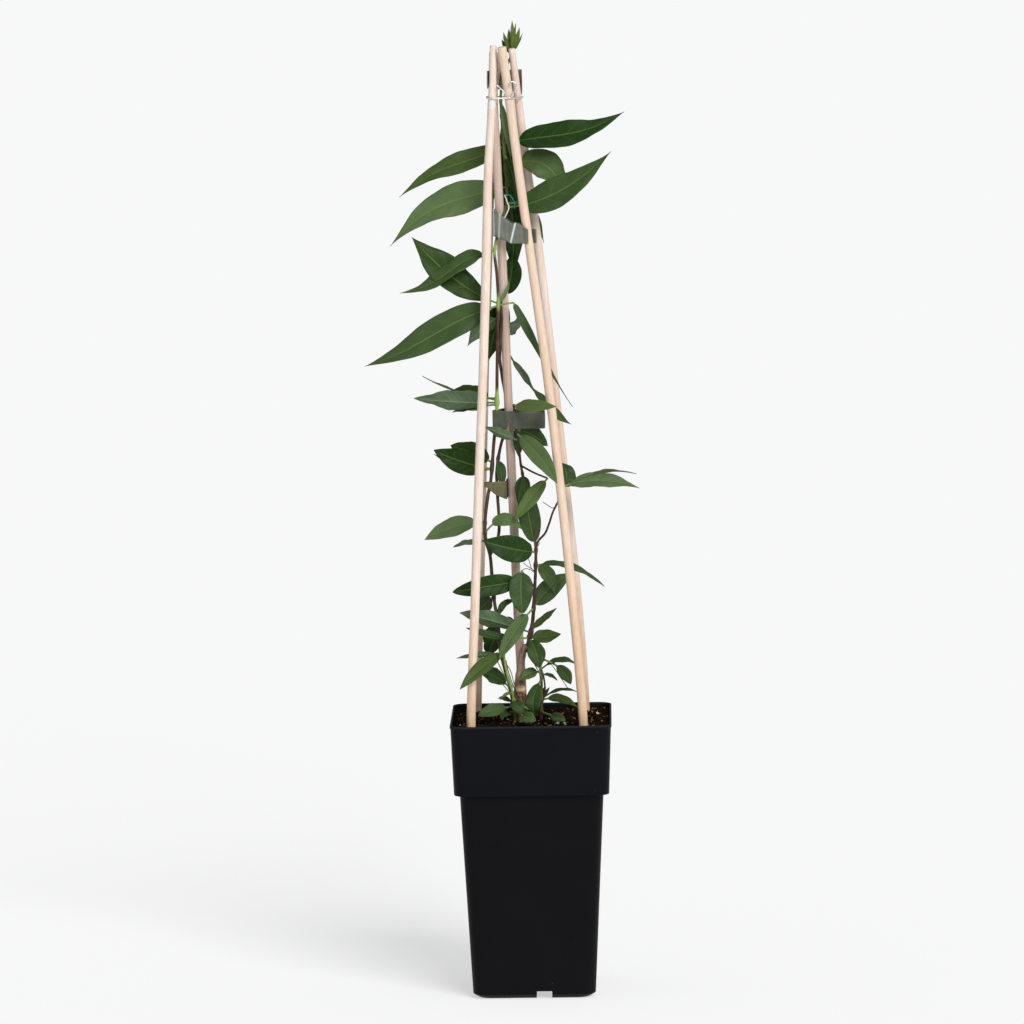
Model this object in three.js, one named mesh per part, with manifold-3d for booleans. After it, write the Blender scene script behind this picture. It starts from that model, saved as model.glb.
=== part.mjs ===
// Potted climbing honeysuckle, tied to a wigwam of five canes in a tall square nursery pot.
// Millimetres, +Z up, +Y away from the front, origin at the middle of the pot's underside.
import * as THREE from 'three';
import { mergeVertices } from 'three/addons/utils/BufferGeometryUtils.js';
import Module from 'manifold-3d';

const wasm = await Module();
wasm.setup();

// Driving dimensions of the pot
const RIM_HALF = 60;
const RIM_TOP = 207.6;
const COLLAR_HALF = 57.6;
const COLLAR_BOTTOM = 155;
const BODY_TOP_HALF = 53.4;
const BODY_LOW_HALF = 45.8;
const CORNER_RADIUS = 9;
const WALL = 1.5;
const CHANNEL_WIDTH = 11.6;
const CHANNEL_HEIGHT = 5.8;
const CHANNEL_START = 16;
const CHANNEL_SHIFT = 7.4;
const DRAIN_RADIUS = 3.5;

// Driving dimensions of what the pot holds
const GAP = 0.3;
const SOIL_TOP = 204;
const SOIL_RELIEF = 1.1;
const CANE_RADIUS = 3.35;
const CANE_TOP_RADIUS = 2.6;
const CANE_FOOT = 108;
const BLADE_THICKNESS = 0.7;
const PETIOLE_RADIUS = 0.75;
const TAPE_THICKNESS = 0.6;
const WIRE_RADIUS = 0.55;
const TIE_RADIUS = 0.45;
const SMALLEST_DETAIL = 0.03;

const potMaterial = new THREE.MeshStandardMaterial({ color: 0x15161a, roughness: 0.42, metalness: 0 });
const soilMaterial = new THREE.MeshStandardMaterial({ color: 0x1c130d, roughness: 0.95, metalness: 0 });
const caneMaterial = new THREE.MeshStandardMaterial({ color: 0xe3cdb8, roughness: 0.6, metalness: 0 });
const leafMaterial = new THREE.MeshStandardMaterial({ color: 0x2f4f1d, roughness: 0.45, metalness: 0 });
const tapeMaterial = new THREE.MeshStandardMaterial({ color: 0x5e655c, roughness: 0.35, metalness: 0 });
const wireMaterial = new THREE.MeshStandardMaterial({ color: 0xd5dade, roughness: 0.3, metalness: 0.9 });
const tieMaterial = new THREE.MeshStandardMaterial({ color: 0x1f8f88, roughness: 0.5, metalness: 0 });
const barkMaterial = new THREE.MeshStandardMaterial({ color: 0xa98a66, roughness: 0.85, metalness: 0 });

const potted = new THREE.Group();

function place(name, geometry, material) {
  const mesh = new THREE.Mesh(geometry, material);
  mesh.name = name;
  potted.add(mesh);
}

// Closed body through a row of rings with the same number of points, each end zipped shut.
// From ringIndex flipFrom on, the quads are split along their other diagonal.
function loft(rings, flipFrom = Infinity) {
  const count = rings[0].length;
  const positions = rings.flat().flatMap((p) => [p.x, p.y, p.z]);
  const index = [];
  for (let i = 0; i + 1 < rings.length; i += 1) {
    for (let k = 0; k < count; k += 1) {
      const a = i * count + k;
      const b = i * count + (k + 1) % count;
      const c = a + count;
      const d = b + count;
      if (k >= flipFrom) index.push(a, b, c, b, d, c);
      else index.push(a, b, d, a, d, c);
    }
  }
  const zip = (start, flip) => {
    let low = 0;
    let high = count - 1;
    while (low + 1 < high) {
      const first = flip ? [low + 1, low, high] : [low, low + 1, high];
      index.push(...first.map((k) => start + k));
      if (low + 1 < high - 1) {
        const second = flip ? [high - 1, low + 1, high] : [low + 1, high - 1, high];
        index.push(...second.map((k) => start + k));
      }
      low += 1;
      high -= 1;
    }
  };
  zip(0, true);
  zip((rings.length - 1) * count, false);
  const geometry = new THREE.BufferGeometry();
  geometry.setAttribute('position', new THREE.Float32BufferAttribute(positions, 3));
  geometry.setIndex(index);
  if (signedVolume(geometry) < 0) geometry.index.array.reverse();
  return geometry;
}

function signedVolume(geometry) {
  const p = geometry.attributes.position;
  const index = geometry.index.array;
  const corner = (i) => new THREE.Vector3().fromBufferAttribute(p, index[i]);
  let sum = 0;
  for (let i = 0; i < index.length; i += 3) {
    sum += corner(i).dot(corner(i + 1).cross(corner(i + 2)));
  }
  return sum / 6;
}

// Joining and cutting
function solid(geometry) {
  const bare = geometry.clone();
  bare.deleteAttribute('normal');
  bare.deleteAttribute('uv');
  const merged = mergeVertices(bare, 1e-4);
  const mesh = new wasm.Mesh({
    numProp: 3,
    vertProperties: new Float32Array(merged.attributes.position.array),
    triVerts: new Uint32Array(merged.index.array),
  });
  return new wasm.Manifold(mesh);
}

function surface(manifold) {
  const mesh = manifold.getMesh();
  const geometry = new THREE.BufferGeometry();
  geometry.setAttribute('position', new THREE.BufferAttribute(mesh.vertProperties, 3));
  geometry.setIndex(new THREE.BufferAttribute(mesh.triVerts, 1));
  return geometry;
}

function fuse(geometries) {
  return geometries.map(solid).reduce((whole, piece) => whole.add(piece));
}

// Curves and the tubes that follow them
function curveThrough(points) {
  const knots = points.map((p) => new THREE.Vector3(...p));
  return new THREE.CatmullRomCurve3(knots, false, 'catmullrom', 0.5);
}

function tube(points, radiusAt, sides, steps) {
  const curve = curveThrough(points);
  const rings = [];
  for (let i = 0; i <= steps; i += 1) {
    const t = i / steps;
    const centre = curve.getPoint(t);
    const along = curve.getTangent(t);
    const across = new THREE.Vector3(0, 1, 0).addScaledVector(along, -along.y).normalize();
    const other = along.clone().cross(across);
    const radius = radiusAt(t, centre.z);
    rings.push(Array.from({ length: sides }, (_, k) => {
      const angle = 2 * Math.PI * k / sides;
      return centre.clone().addScaledVector(across, radius * Math.cos(angle))
        .addScaledVector(other, radius * Math.sin(angle));
    }));
  }
  return loft(rings);
}

// Pot
function roundedSquare(half, radius, z, cornerSteps = 4) {
  const ring = [];
  for (let corner = 0; corner < 4; corner += 1) {
    const middle = (corner + 0.5) * Math.PI / 2;
    const x = (half - radius) * Math.SQRT2 * Math.cos(middle);
    const y = (half - radius) * Math.SQRT2 * Math.sin(middle);
    for (let k = 0; k <= cornerSteps; k += 1) {
      const angle = (corner + k / cornerSteps) * Math.PI / 2;
      ring.push(new THREE.Vector3(x + radius * Math.cos(angle), y + radius * Math.sin(angle), z));
    }
  }
  return ring;
}

function box(x0, x1, y0, y1, z0, z1) {
  const geometry = new THREE.BoxGeometry(x1 - x0, y1 - y0, z1 - z0);
  return solid(geometry.translate((x0 + x1) / 2, (y0 + y1) / 2, (z0 + z1) / 2));
}

// Inside of the wall: half width and height, from the floor up
const insideProfile = [
  [BODY_LOW_HALF - 5.6, WALL],
  [BODY_LOW_HALF - 2.6, 3.6],
  [BODY_LOW_HALF - WALL, 8.5],
  [BODY_TOP_HALF - WALL, COLLAR_BOTTOM + 1],
  [COLLAR_HALF - WALL, COLLAR_BOTTOM + 2.2],
  [RIM_HALF - WALL, RIM_TOP + 1],
];

// A drain channel runs in from each side under the floor; grow widens it to its cover
function channels(grow) {
  const arm = (turn) => {
    const half = CHANNEL_WIDTH / 2 + grow;
    const outer = -BODY_LOW_HALF - (grow > 0 ? 6 : 10);
    const length = box(
      CHANNEL_SHIFT - half,
      CHANNEL_SHIFT + half,
      outer,
      -CHANNEL_START + grow,
      -1,
      CHANNEL_HEIGHT + grow,
    );
    return length.rotate([0, 0, turn]);
  };
  return [0, 90, 180, 270].map(arm).reduce((whole, piece) => whole.add(piece));
}

function cavity(inset) {
  const rings = insideProfile.map(([half, z], k) => (
    roundedSquare(half - inset, CORNER_RADIUS - WALL, k === 0 ? z + inset : z)
  ));
  return solid(loft(rings)).subtract(channels(WALL + inset));
}

function pot() {
  const outside = [
    [BODY_LOW_HALF - 6, 0],
    [BODY_LOW_HALF - 3.4, 0.7],
    [BODY_LOW_HALF - 1.4, 2.6],
    [BODY_LOW_HALF - 0.3, 5.6],
    [BODY_LOW_HALF, 10],
    [BODY_TOP_HALF, COLLAR_BOTTOM - 0.1],
    [COLLAR_HALF - 0.6, COLLAR_BOTTOM],
    [COLLAR_HALF, COLLAR_BOTTOM + 1.4],
    [RIM_HALF - 0.5, RIM_TOP - 2.2],
    [RIM_HALF, RIM_TOP - 1.6],
    [RIM_HALF, RIM_TOP - 0.5],
    [RIM_HALF - 0.5, RIM_TOP],
  ].map(([half, z]) => roundedSquare(half, CORNER_RADIUS, z));
  let body = solid(loft(outside)).subtract(cavity(0)).subtract(channels(0));
  for (const turn of [0, 90, 180, 270]) {
    const hole = new THREE.CylinderGeometry(DRAIN_RADIUS, DRAIN_RADIUS, 6, 12);
    hole.rotateX(Math.PI / 2).translate(CHANNEL_SHIFT, -CHANNEL_START - 6, CHANNEL_HEIGHT + WALL);
    body = body.subtract(solid(hole).rotate([0, 0, turn]));
  }
  return surface(body);
}

place('pot', pot(), potMaterial);

// Canes: points from the foot in the soil, past its surface, up to the tie and the top
const canes = {
  cane_front_left: [
    [-44, -43.5, CANE_FOOT], [-44.3, -43.8, 204], [-40.3, -37, 292], [-36.3, -30, 381],
    [-31.8, -22.9, 469], [-28.1, -15.9, 558], [-26, -11.2, 617], [-22.5, -6.9, 669], [-21.1, -4, 708],
  ],
  cane_front_right: [
    [40, -43.5, CANE_FOOT], [39.2, -43.9, 204], [32.8, -36.7, 291], [25.2, -29.9, 372],
    [16, -22.4, 461], [3.9, -14.4, 557], [-3.6, -9.4, 616], [-10, -5.1, 669], [-14.8, -8.5, 707],
  ],
  cane_back_right: [
    [41.5, 44, CANE_FOOT], [40.3, 46.8, 204], [36, 39.9, 281], [28.6, 32.1, 365],
    [20, 23.6, 457], [10, 14.6, 555], [3.4, 9.7, 607], [-3.6, 3.9, 669], [-7.6, -2, 705.5],
  ],
  cane_centre: [
    [-5.5, 5, CANE_FOOT], [-6.2, 5, 204], [-9.2, 4.4, 286], [-11.6, 3.8, 369],
    [-14.1, 3, 450], [-17.2, 2.3, 556], [-20.2, 1.8, 630], [-21.8, 1.5, 669], [-21, 4, 703],
  ],
  cane_back_left: [
    [-42, 44, CANE_FOOT], [-41.6, 46.8, 204], [-37.2, 38.5, 320], [-31.6, 27.7, 468],
    [-27.9, 21.9, 547], [-25.4, 17.5, 607], [-22.5, 13, 669], [-16.5, 10.5, 701],
  ],
};
const CANE_SIDES = 10;

// Two of the canes grow thinner towards the top
function caneRadius(name, height) {
  const slim = name === 'cane_front_left' || name === 'cane_back_right';
  const share = slim ? THREE.MathUtils.clamp((height - 600) / 100, 0, 1) : 0;
  return CANE_RADIUS + (CANE_TOP_RADIUS - CANE_RADIUS) * share;
}

function caneTube(name, points, grow = 0) {
  const radiusAt = (t, height) => caneRadius(name, height) + grow;
  return tube(points, radiusAt, CANE_SIDES, points.length - 1);
}

// Stems: points from below the soil upwards, then the radius at the start and at the end
const stems = {
  left: {
    points: [
      [-13, -8.6, 180], [-13.2, -8.6, 207], [-14.9, -8.4, 227], [-19.1, -8.6, 243],
      [-22.6, -9, 259], [-24.5, -9, 282], [-26.5, -9, 296], [-27.8, -9, 314], [-29, -9, 329],
      [-32.2, -9, 342], [-32.2, -9, 356], [-29.9, -8.5, 374], [-27.5, -8, 386], [-24.8, -7, 415],
      [-22.7, -6.5, 432], [-22.1, -6, 453], [-21.6, -5.7, 476], [-20.9, -5.2, 497],
      [-20.2, -5, 517], [-20.9, -4.2, 538], [-22.3, -3.9, 556], [-18.9, -3.4, 572],
      [-14.3, -0.5, 585], [-13.1, 3, 593], [-13, 6.3, 604], [-14.5, 6, 630], [-15.6, 4, 649],
      [-16.2, 1.5, 670], [-13.9, 1.5, 686], [-9, 3.5, 698], [-5.9, 4, 706],
    ],
    radii: [1.45, 1],
  },
  leftStrand: {
    points: [
      [-29, -9, 329], [-22.2, -8, 346], [-22.8, -6, 374], [-23.2, 0, 392], [-20, 8.4, 410],
      [-15, 9.5, 425], [-14.8, 9.5, 437], [-16.2, 8.4, 448], [-18.4, 6, 462], [-19.7, 2.4, 475],
      [-18.9, -1.6, 490], [-17.9, -3.2, 505], [-18.8, -4.4, 519],
    ],
    radii: [1.2, 1.2],
  },
  strandBack: {
    points: [[-14.9, 9.5, 432], [-13.6, 9.3, 466], [-13.8, 9.2, 502], [-14.4, 9.2, 521]],
    radii: [0.8, 0.7],
  },
  upperTwig: {
    points: [[-20.3, -5, 515.6], [-14, -8, 517], [-8.8, -9, 517.8]],
    radii: [0.8, 0.7],
  },
  rightBase: {
    points: [
      [-10.2, -3.2, 180], [-10.2, -3.2, 207], [-9.8, -3.2, 228], [-7.4, -3.2, 245],
      [-4.8, -3.2, 257], [-3, -3.6, 260.5],
    ],
    radii: [3.7, 2.2],
  },
  right: {
    points: [
      [-4.4, -3.2, 256], [-1.3, -4, 263], [1.9, -5, 278], [3.3, -7, 295], [4.6, -8, 314],
      [5.3, -8, 334],
    ],
    radii: [1.7, 1.1],
  },
  rightLow: {
    points: [[-3.4, -4, 257.5], [-1, -6.5, 254.5], [3, -9, 250.5], [5.2, -10, 247.5]],
    radii: [0.8, 0.7],
  },
  rightTip: {
    points: [
      [5.3, -8, 332], [6.9, -8, 339], [12.2, -8, 345], [15.2, -8, 352], [18.3, -8, 361],
      [22.2, -8, 369], [26, -8, 380],
    ],
    radii: [0.9, 0.75],
  },
  rightMiddle: {
    points: [
      [5.3, -8, 332], [3.4, -9, 355], [-1.5, -9, 378], [-5, -8, 396], [-7, -8, 415],
      [-9.2, -7.2, 428], [-9.6, -7, 442],
    ],
    radii: [1.1, 0.9],
  },
  rightTwig: {
    points: [[4.2, -7, 304], [1, -10.5, 309], [-3, -12, 314], [-5.8, -12.5, 318]],
    radii: [0.7, 0.7],
  },
  rightSpur: {
    points: [[-5, -8, 396], [4.7, -12, 391], [14.8, -16, 387.2]],
    radii: [0.8, 0.7],
  },
  front: {
    points: [
      [-12, -14, 180], [-12, -14, 206], [-13.3, -16, 224], [-16.8, -18.5, 238], [-18.8, -21, 249],
      [-19.6, -22.5, 259],
    ],
    radii: [1.1, 0.8],
  },
  low: {
    points: [
      [7, -4, 180], [7.4, -4, 205], [8, -4.6, 219], [8, -5, 233], [7.4, -5, 243], [9, -6.5, 251],
    ],
    radii: [1.3, 0.8],
  },
  lowSide: {
    points: [[8.2, -4.7, 216], [10.4, -6, 226], [9.8, -6.2, 236], [7.8, -5.2, 243]],
    radii: [0.7, 0.7],
  },
};
const STEM_SIDES = 6;
const FEWEST_STEPS = 6;

function stemTube({ points, radii: [start, end], sides = STEM_SIDES }, grow = 0) {
  const steps = Math.max(FEWEST_STEPS, points.length - 1);
  return tube(points, (t) => start + (end - start) * t + grow, sides, steps);
}

function pointAtHeight(stem, height) {
  const curve = curveThrough(stem.points);
  const samples = 400;
  let best = curve.getPoint(0);
  for (let i = 1; i <= samples; i += 1) {
    const p = curve.getPoint(i / samples);
    if (Math.abs(p.z - height) < Math.abs(best.z - height)) best = p;
  }
  return best;
}

// A leaf runs from its stem to its tip along a bowed midrib: first a round petiole, then a thin
// blade. The blade's width follows a sine of the length, widest at the given share of it and drawn
// out towards the tip; each half rises from the midrib and flattens towards a gently waved margin.
// At roll 0 the upper face looks to the front, a positive roll turns it upwards, and twist is added
// towards the tip. Hook lifts the half next to the stem and lowers the other, or the reverse.
const leafGrids = [
  { fromWidth: 16.5, across: [-1, -0.5, 0, 0.5, 1], stations: [0.03, 0.15, 0.34, 0.56, 0.79, 1] },
  { fromWidth: 6, across: [-1, 0, 1], stations: [0.04, 0.22, 0.47, 0.74, 1] },
  { fromWidth: 0, across: [-1, 0, 1], stations: [0.1, 0.5, 1] },
];
const FOLD = 0.3;
const FLATTENING = 0.12;
const WAVE = 0.05;

function bladeHalfWidth(width, point, widest, t) {
  const power = Math.log(0.5) / Math.log(widest);
  return Math.max(0.35, 0.5 * width * Math.sin(Math.PI * t ** power) ** (0.62 + point * t));
}

function leaf(stem, point, row, order) {
  const [height, tipX, tipY, tipZ, bowX, bowY, bowZ, width, roll, twist, petiole, widest, hook] = row;
  const base = pointAtHeight(stem, height);
  const tip = new THREE.Vector3(tipX, tipY, tipZ);
  const chord = tip.clone().sub(base);
  const bow = new THREE.Vector3(bowX, bowY, bowZ);
  const heading = chord.x < 0 ? 1 : -1;
  const { across, stations } = leafGrids.find(({ fromWidth }) => width >= fromWidth);
  const share = petiole / chord.length();
  const stalk = Math.min(PETIOLE_RADIUS, 0.12 * width + 0.3);

  const section = (t, halfWidth, thickness, bladeShare) => {
    const centre = base.clone().addScaledVector(chord, t).addScaledVector(bow, 4 * t * (1 - t));
    centre.z += hook * Math.sin(2 * Math.PI * t);
    const along = chord.clone().addScaledVector(bow, 4 - 8 * t);
    along.z += 2 * Math.PI * hook * Math.cos(2 * Math.PI * t);
    along.normalize();
    const front = new THREE.Vector3(0, -1, 0);
    front.addScaledVector(along, -front.dot(along)).normalize();
    const up = along.clone().cross(front).multiplyScalar(heading);
    const angle = THREE.MathUtils.degToRad(roll + twist * t);
    const normal = front.multiplyScalar(Math.cos(angle)).addScaledVector(up, Math.sin(angle));
    const side = along.clone().cross(normal);
    const point3 = (s, face) => {
      const ripple = WAVE * width * s * s * Math.sin(15 * bladeShare + 2 * s + order);
      const lift = bladeShare < 0 ? 0 : FOLD * Math.abs(s) - FLATTENING * s * s;
      const rise = halfWidth * lift + (bladeShare < 0 ? 0 : ripple * Math.min(1, halfWidth / width * 3));
      return centre.clone().addScaledVector(side, s * halfWidth)
        .addScaledVector(normal, rise + face * thickness / 2);
    };
    const top = across.map((s) => point3(s, 1));
    const under = across.toReversed().map((s) => point3(s, -1));
    return [...top, ...under];
  };

  const rings = [section(0, stalk, 2 * stalk, -1), section(share, stalk, 1.6 * stalk, -1)];
  for (const b of stations) {
    const halfWidth = Math.max(bladeHalfWidth(width, point, widest, b), b < 0.5 ? stalk : 0);
    rings.push(section(share + (1 - share) * b, halfWidth, BLADE_THICKNESS, b));
  }
  return loft(rings, across.length);
}

// Each row: height on the stem; tip x, y, z; bow x, y, z; width; roll; twist; petiole length;
// share of the blade's length where it is widest; hook
const upperLeaves = [
  [632, -93, 8, 596, 0, 3, 4, 17, 20, 15, 6, 0.33, -1.5],
  [603, -100, 2, 560, 0, 4, 10, 25, 15, 15, 8, 0.36, -2],
  [636, 75, -6, 658, 0, -9, -5, 21, 20, 15, 12, 0.38, 1.5],
  [618, 32, 3, 591, 6, -5, 15, 23, 15, 20, 10, 0.4, 0],
  [588, 65, -8, 629, 0, -4, -9, 23, 12, 12, 14, 0.34, 0],
  [591, 14, 26, 559, 3, 5, 9, 9, 30, 0, 8, 0.4, 0],
  [628, -6, 2, 595, 2, -2, 0, 13, 20, 0, 4, 0.4, 0],
  [656, -8.5, 12, 536, 2, 7, 0, 21.5, 10, 0, 5, 0.55, 0],
  [667, -9.3, -1.6, 623, 0.4, -1, 0, 5, 10, 0, 3, 0.35, 0],
  [517, -84, 0, 567, 0, 0, -7, 25, 20, 10, 8, 0.55, 0],
  [557, -93, -9, 526, 0, -2, -1, 17, 55, -10, 10, 0.3, 3],
  [515, -120, -12, 472, 0, -2, 0, 23, 15, 8, 9, 0.33, 2],
  [506, -44, 10, 484, 0, 0, 3, 14, 160, 0, 4, 0.4, 0],
  [517, -12, -3, 535, 2, -2, 0, 3.2, 20, 0, 2, 0.3, 0],
];
const tipLeaves = [
  [703, -7, 2, 726, 0, 0, 0, 4, 20, 0, 1, 0.4, 0],
  [704, -4.4, 3, 724, 0, 0, 0, 3, 35, 0, 1, 0.4, 0],
  [702, -13.4, 2, 717.5, -1.2, 0, 0, 3.2, 30, 0, 1, 0.45, 0],
  [701, -14.8, 5, 712, -0.8, 0, 0, 3.4, 10, 0, 1, 0.45, 0],
  [703, -1.6, 1, 721, 0.6, 0, 0, 3.6, 10, 0, 1, 0.4, 0],
  [703, 0.4, 1, 716.5, 0.5, 0, -1, 2.6, 50, 0, 1, 0.4, 0],
  [704, -9.4, 5, 720, -1, 0, 0, 3.6, 0, 0, 1, 0.4, 0],
  [704, -5.4, -0.5, 719, 0, 0, 0, 4.5, 0, 0, 1, 0.4, 0],
];
const leftLeaves = [
  [447, -78, 12, 462, 0, 0, -4, 9, 100, 0, 8, 0.4, 0],
  [443, -84, -4, 447, 0, 0, -1, 20, 145, 0, 8, 0.33, 0],
  [444, -58, 14, 450, 0, 0, 1, 15, 35, 0, 8, 0.4, 0],
  [442, -56, 8, 435, 0, 0, 1, 8, 60, 0, 8, 0.4, 0],
  [393, -70, -2, 408, 0, 0, -2, 19, 15, 0, 6, 0.4, 0],
  [398, -58, 18, 409, 0, 0, 1, 16, 20, 0, 4, 0.4, 0],
  [393, -70, 6, 404, 0, 0, -5, 8, 75, 0, 6, 0.4, 0],
  [354, -78, 2, 340, 0, 0, 3, 15, 25, 0, 8, 0.4, 0],
  [340, -57, 12, 333, 0, 0, 1, 8, 130, 0, 4, 0.4, 0],
  [346, -5, -14, 349, 0, -3, 9, 10, 20, 0, 6, 0.4, 0],
  [298, -41, 2, 284, 0, 0, 0, 13, 20, 0, 3, 0.4, 0],
  [280, -11, -4, 294, -2, -4, 5, 5.5, 30, 0, 3, 0.4, 0],
  [276, -11.5, -4, 279, 0, 0, 2, 6, 30, 0, 2, 0.4, 0],
  [277, -31, 0, 259, -1, 0, 0, 13, 10, 0, 2, 0.5, 0],
  [271, -32, -4, 253, -1, 0, 0, 12, 10, 0, 2, 0.4, 0],
  [265, -36, 8, 262, 0, 0, 0, 4, 20, 0, 2, 0.4, 0],
  [254, -55, -20, 253.5, 0, 0, 1, 6, 140, 0, 4, 0.4, 0],
  [229, -37, -14, 241, 0, 0, 3, 12.5, 30, 0, 4, 0.5, 0],
  [215, -39.5, -24, 210.5, 0, -4, 2, 10.5, 30, 0, 6, 0.48, 0],
  [217, -24.5, -13, 222, 0, 0, 1.5, 4, 30, 0, 2, 0.4, 0],
];
const strandLeaves = [
  [400, -20, -4, 380, 1, -2, 0, 8, 20, 0, 2, 0.4, 0],
];
const strandBackLeaves = [
  [520, -9.5, 10.5, 554, 1.5, 0, 0, 16, 5, 0, 3, 0.45, 0],
  [518, -28, 12, 473, -2, 2, 0, 20, 5, 0, 3, 0.4, 0],
  [500, -5, 40, 495, 0, 0, 0, 15, 0, 0, 4, 0.4, 0],
  [479, 33, -6, 426, 0, -2, -7, 13, 155, -160, 6, 0.4, 0],
];
const upperTwigLeaves = [
  [517.8, 34, -4, 439, -1.5, 0, -1, 7.5, 30, 50, 1, 0.25, 0],
];
const rightLeaves = [
  [331, -34, -22, 342, 0, -3, -1, 20, 8, 0, 3, 0.4, 0],
  [334, -3.5, -10, 388.5, -1, -1, 0, 16.5, 10, 0, 5, 0.4, 0],
  [321, 56, -4, 304, 0, 0, 7, 9, 65, 0, 5, 0.4, 0],
  [322, 19, -14, 301, 2, -2, 3, 11, 20, 0, 3, 0.4, 0],
  [289, 32, -12, 315, -2, 0, 2, 15, 10, 0, 3, 0.4, 0],
  [289, -23.3, -34, 253.4, -1.5, -4, 2, 11.8, 5, 0, 8, 0.4, 0],
  [272, 20, 6, 287, 0, 0, 0, 7, 50, 0, 2, 0.4, 0],
  [267, 23, -6, 269, 0, 0, -1, 11, 30, 0, 2, 0.4, 0],
  [266, 6, -14, 244.6, 1.5, -2, 1, 13.5, 10, 0, 2, 0.5, 0],
  [270, -52, -26, 288.5, 0, -7, 2, 15, 150, 0, 14, 0.4, 0],
  [266, -47.5, -24, 277, 0, -4, -2, 6.5, 35, 0, 14, 0.45, 0],
];
const rightMiddleLeaves = [
  [441, 22, -40, 443, 0, -4, 0, 11, 35, 0, 2, 0.4, 0],
  [415, -31, -14, 426, 0, -4, 0, 9, 150, 0, 4, 0.4, 0],
  [420, 22, -42, 386, 2, -3, 2, 14, 10, 0, 4, 0.4, 0],
  [423, 15, 6, 409, 0, 0, 2, 14, 15, 0, 4, 0.4, 0],
  [425, -7, 0, 402, 1, 0, 0, 8, 10, 0, 2, 0.4, 0],
  [390, -8, -3, 367, 2, 0, 0, 12, 10, 0, 2, 0.4, 0],
];
const rightTipLeaves = [
  [380, 83, -8, 378, 0, 0, 5, 14, 45, 0, 5, 0.4, 0],
  [379, 81, 8, 387, 0, 0, 6, 9, 82, 0, 6, 0.4, 0],
  [379, 24, 6, 397, 4, 0, 0, 14, 20, 0, 2, 0.4, 0],
];
const rightTwigLeaves = [
  [311, -57, -22, 303.5, 0, 0, 0, 15.8, 12, 0, 10, 0.36, 0],
  [317.5, -5, -19, 286.5, -1, -2, 0, 18, 5, 0, 1, 0.4, 0],
];
const rightSpurLeaves = [
  [387, -10.5, -20, 356.5, 0, -2, 1, 11.5, 20, 0, 3, 0.42, 0],
];
const frontLeaves = [
  [258, -52, -54, 235, 0, -5, 3, 10.8, 20, 0, 3, 0.45, 0],
  [221, -4, -26, 212.5, -1, -6, 1, 10, 30, 0, 2, 0.4, 0],
  [212, 4, -41, 209, 0, -8, 1, 9.4, 30, 0, 12, 0.4, 0],
  [212, -21, -35, 209, -2, -2, 1, 7, 60, 0, 5, 0.45, 0],
  [220, -1, -27, 215, 0, -4, 1, 2.4, 30, 0, 2, 0.4, 0],
  [226, -23, -23, 222, 0, 0, 2, 2.6, 30, 0, 1, 0.4, 0],
];
const lowLeaves = [
  [242, 34, -12, 247, 0, 0, 5, 7, 62, 0, 4, 0.5, 0],
  [250, 30, -14, 232, 2, 0, 3, 9.5, 20, 0, 12, 0.5, 0],
  [238, 20, -7, 234, 0, 0, 2, 4.5, 60, 0, 3, 0.4, 0],
  [240, -8.5, -12.5, 234.8, 0, 0, 2.5, 9, 30, 0, 3, 0.45, 0],
  [235, 4, -22, 209.5, -4, -10, 0, 11.5, 10, 0, 3, 0.5, 0],
  [220, 35, -6, 225, 0, 0, 4, 5, 70, 0, 4, 0.4, 0],
  [219, 35, -12, 214, 0, 0, 4, 7.5, 40, 0, 5, 0.4, 0],
  [210, 26, -42, 209, 1, -9, 1, 7.5, 35, 0, 15, 0.4, 0],
  [220, 14, -7, 229, 0, 0, 0, 3, 20, 0, 1, 0.4, 0],
  [221, 11, -4, 230, 0, 0, 0, 3, 20, 0, 1, 0.4, 0],
];
const LONG_POINTED = 0.6;
const YOUNG = 0.3;
const SHORT_POINTED = 0.25;
const BLUNT = 0;

// A shoot: its bare bars, then its leafy stems, each with the point of its leaves and their rows
function shoot(name, bars, leafy) {
  const leaves = leafy.flatMap(([stem, point, rows]) => (
    rows.map((row, order) => leaf(stem, point, row, order))
  ));
  const whole = fuse([...bars.map((bar) => stemTube(bar)), ...leaves]);
  place(name, surface(whole.asOriginal().simplify(SMALLEST_DETAIL)), leafMaterial);
}

shoot('left_vine', [stems.left, stems.leftStrand, stems.strandBack, stems.upperTwig], [
  [stems.left, LONG_POINTED, upperLeaves],
  [stems.left, YOUNG, tipLeaves],
  [stems.left, SHORT_POINTED, leftLeaves],
  [stems.leftStrand, SHORT_POINTED, strandLeaves],
  [stems.strandBack, LONG_POINTED, strandBackLeaves],
  [stems.upperTwig, LONG_POINTED, upperTwigLeaves],
]);
shoot('right_vine', [
  stems.rightBase, stems.right, stems.rightLow, stems.rightTip, stems.rightMiddle, stems.rightTwig,
  stems.rightSpur,
], [
  [stems.right, SHORT_POINTED, rightLeaves],
  [stems.rightMiddle, SHORT_POINTED, rightMiddleLeaves],
  [stems.rightTip, LONG_POINTED, rightTipLeaves],
  [stems.rightTwig, BLUNT, rightTwigLeaves],
  [stems.rightSpur, SHORT_POINTED, rightSpurLeaves],
]);
shoot('front_shoot', [stems.front], [[stems.front, SHORT_POINTED, frontLeaves]]);
shoot('low_shoot', [stems.low, stems.lowSide], [[stems.low, SHORT_POINTED, lowLeaves]]);

for (const [name, points] of Object.entries(canes)) {
  place(name, caneTube(name, points), caneMaterial);
}

// The stump of an older stem, cut off low, its cut end turned to the front
const stump = {
  points: [[-6, -11, 185], [-6.2, -11.2, 205], [-6.9, -13, 222], [-7.4, -17.5, 230]],
  radii: [4, 3.6],
  sides: 10,
};
place('cut_stump', stemTube(stump), barkMaterial);

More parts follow.
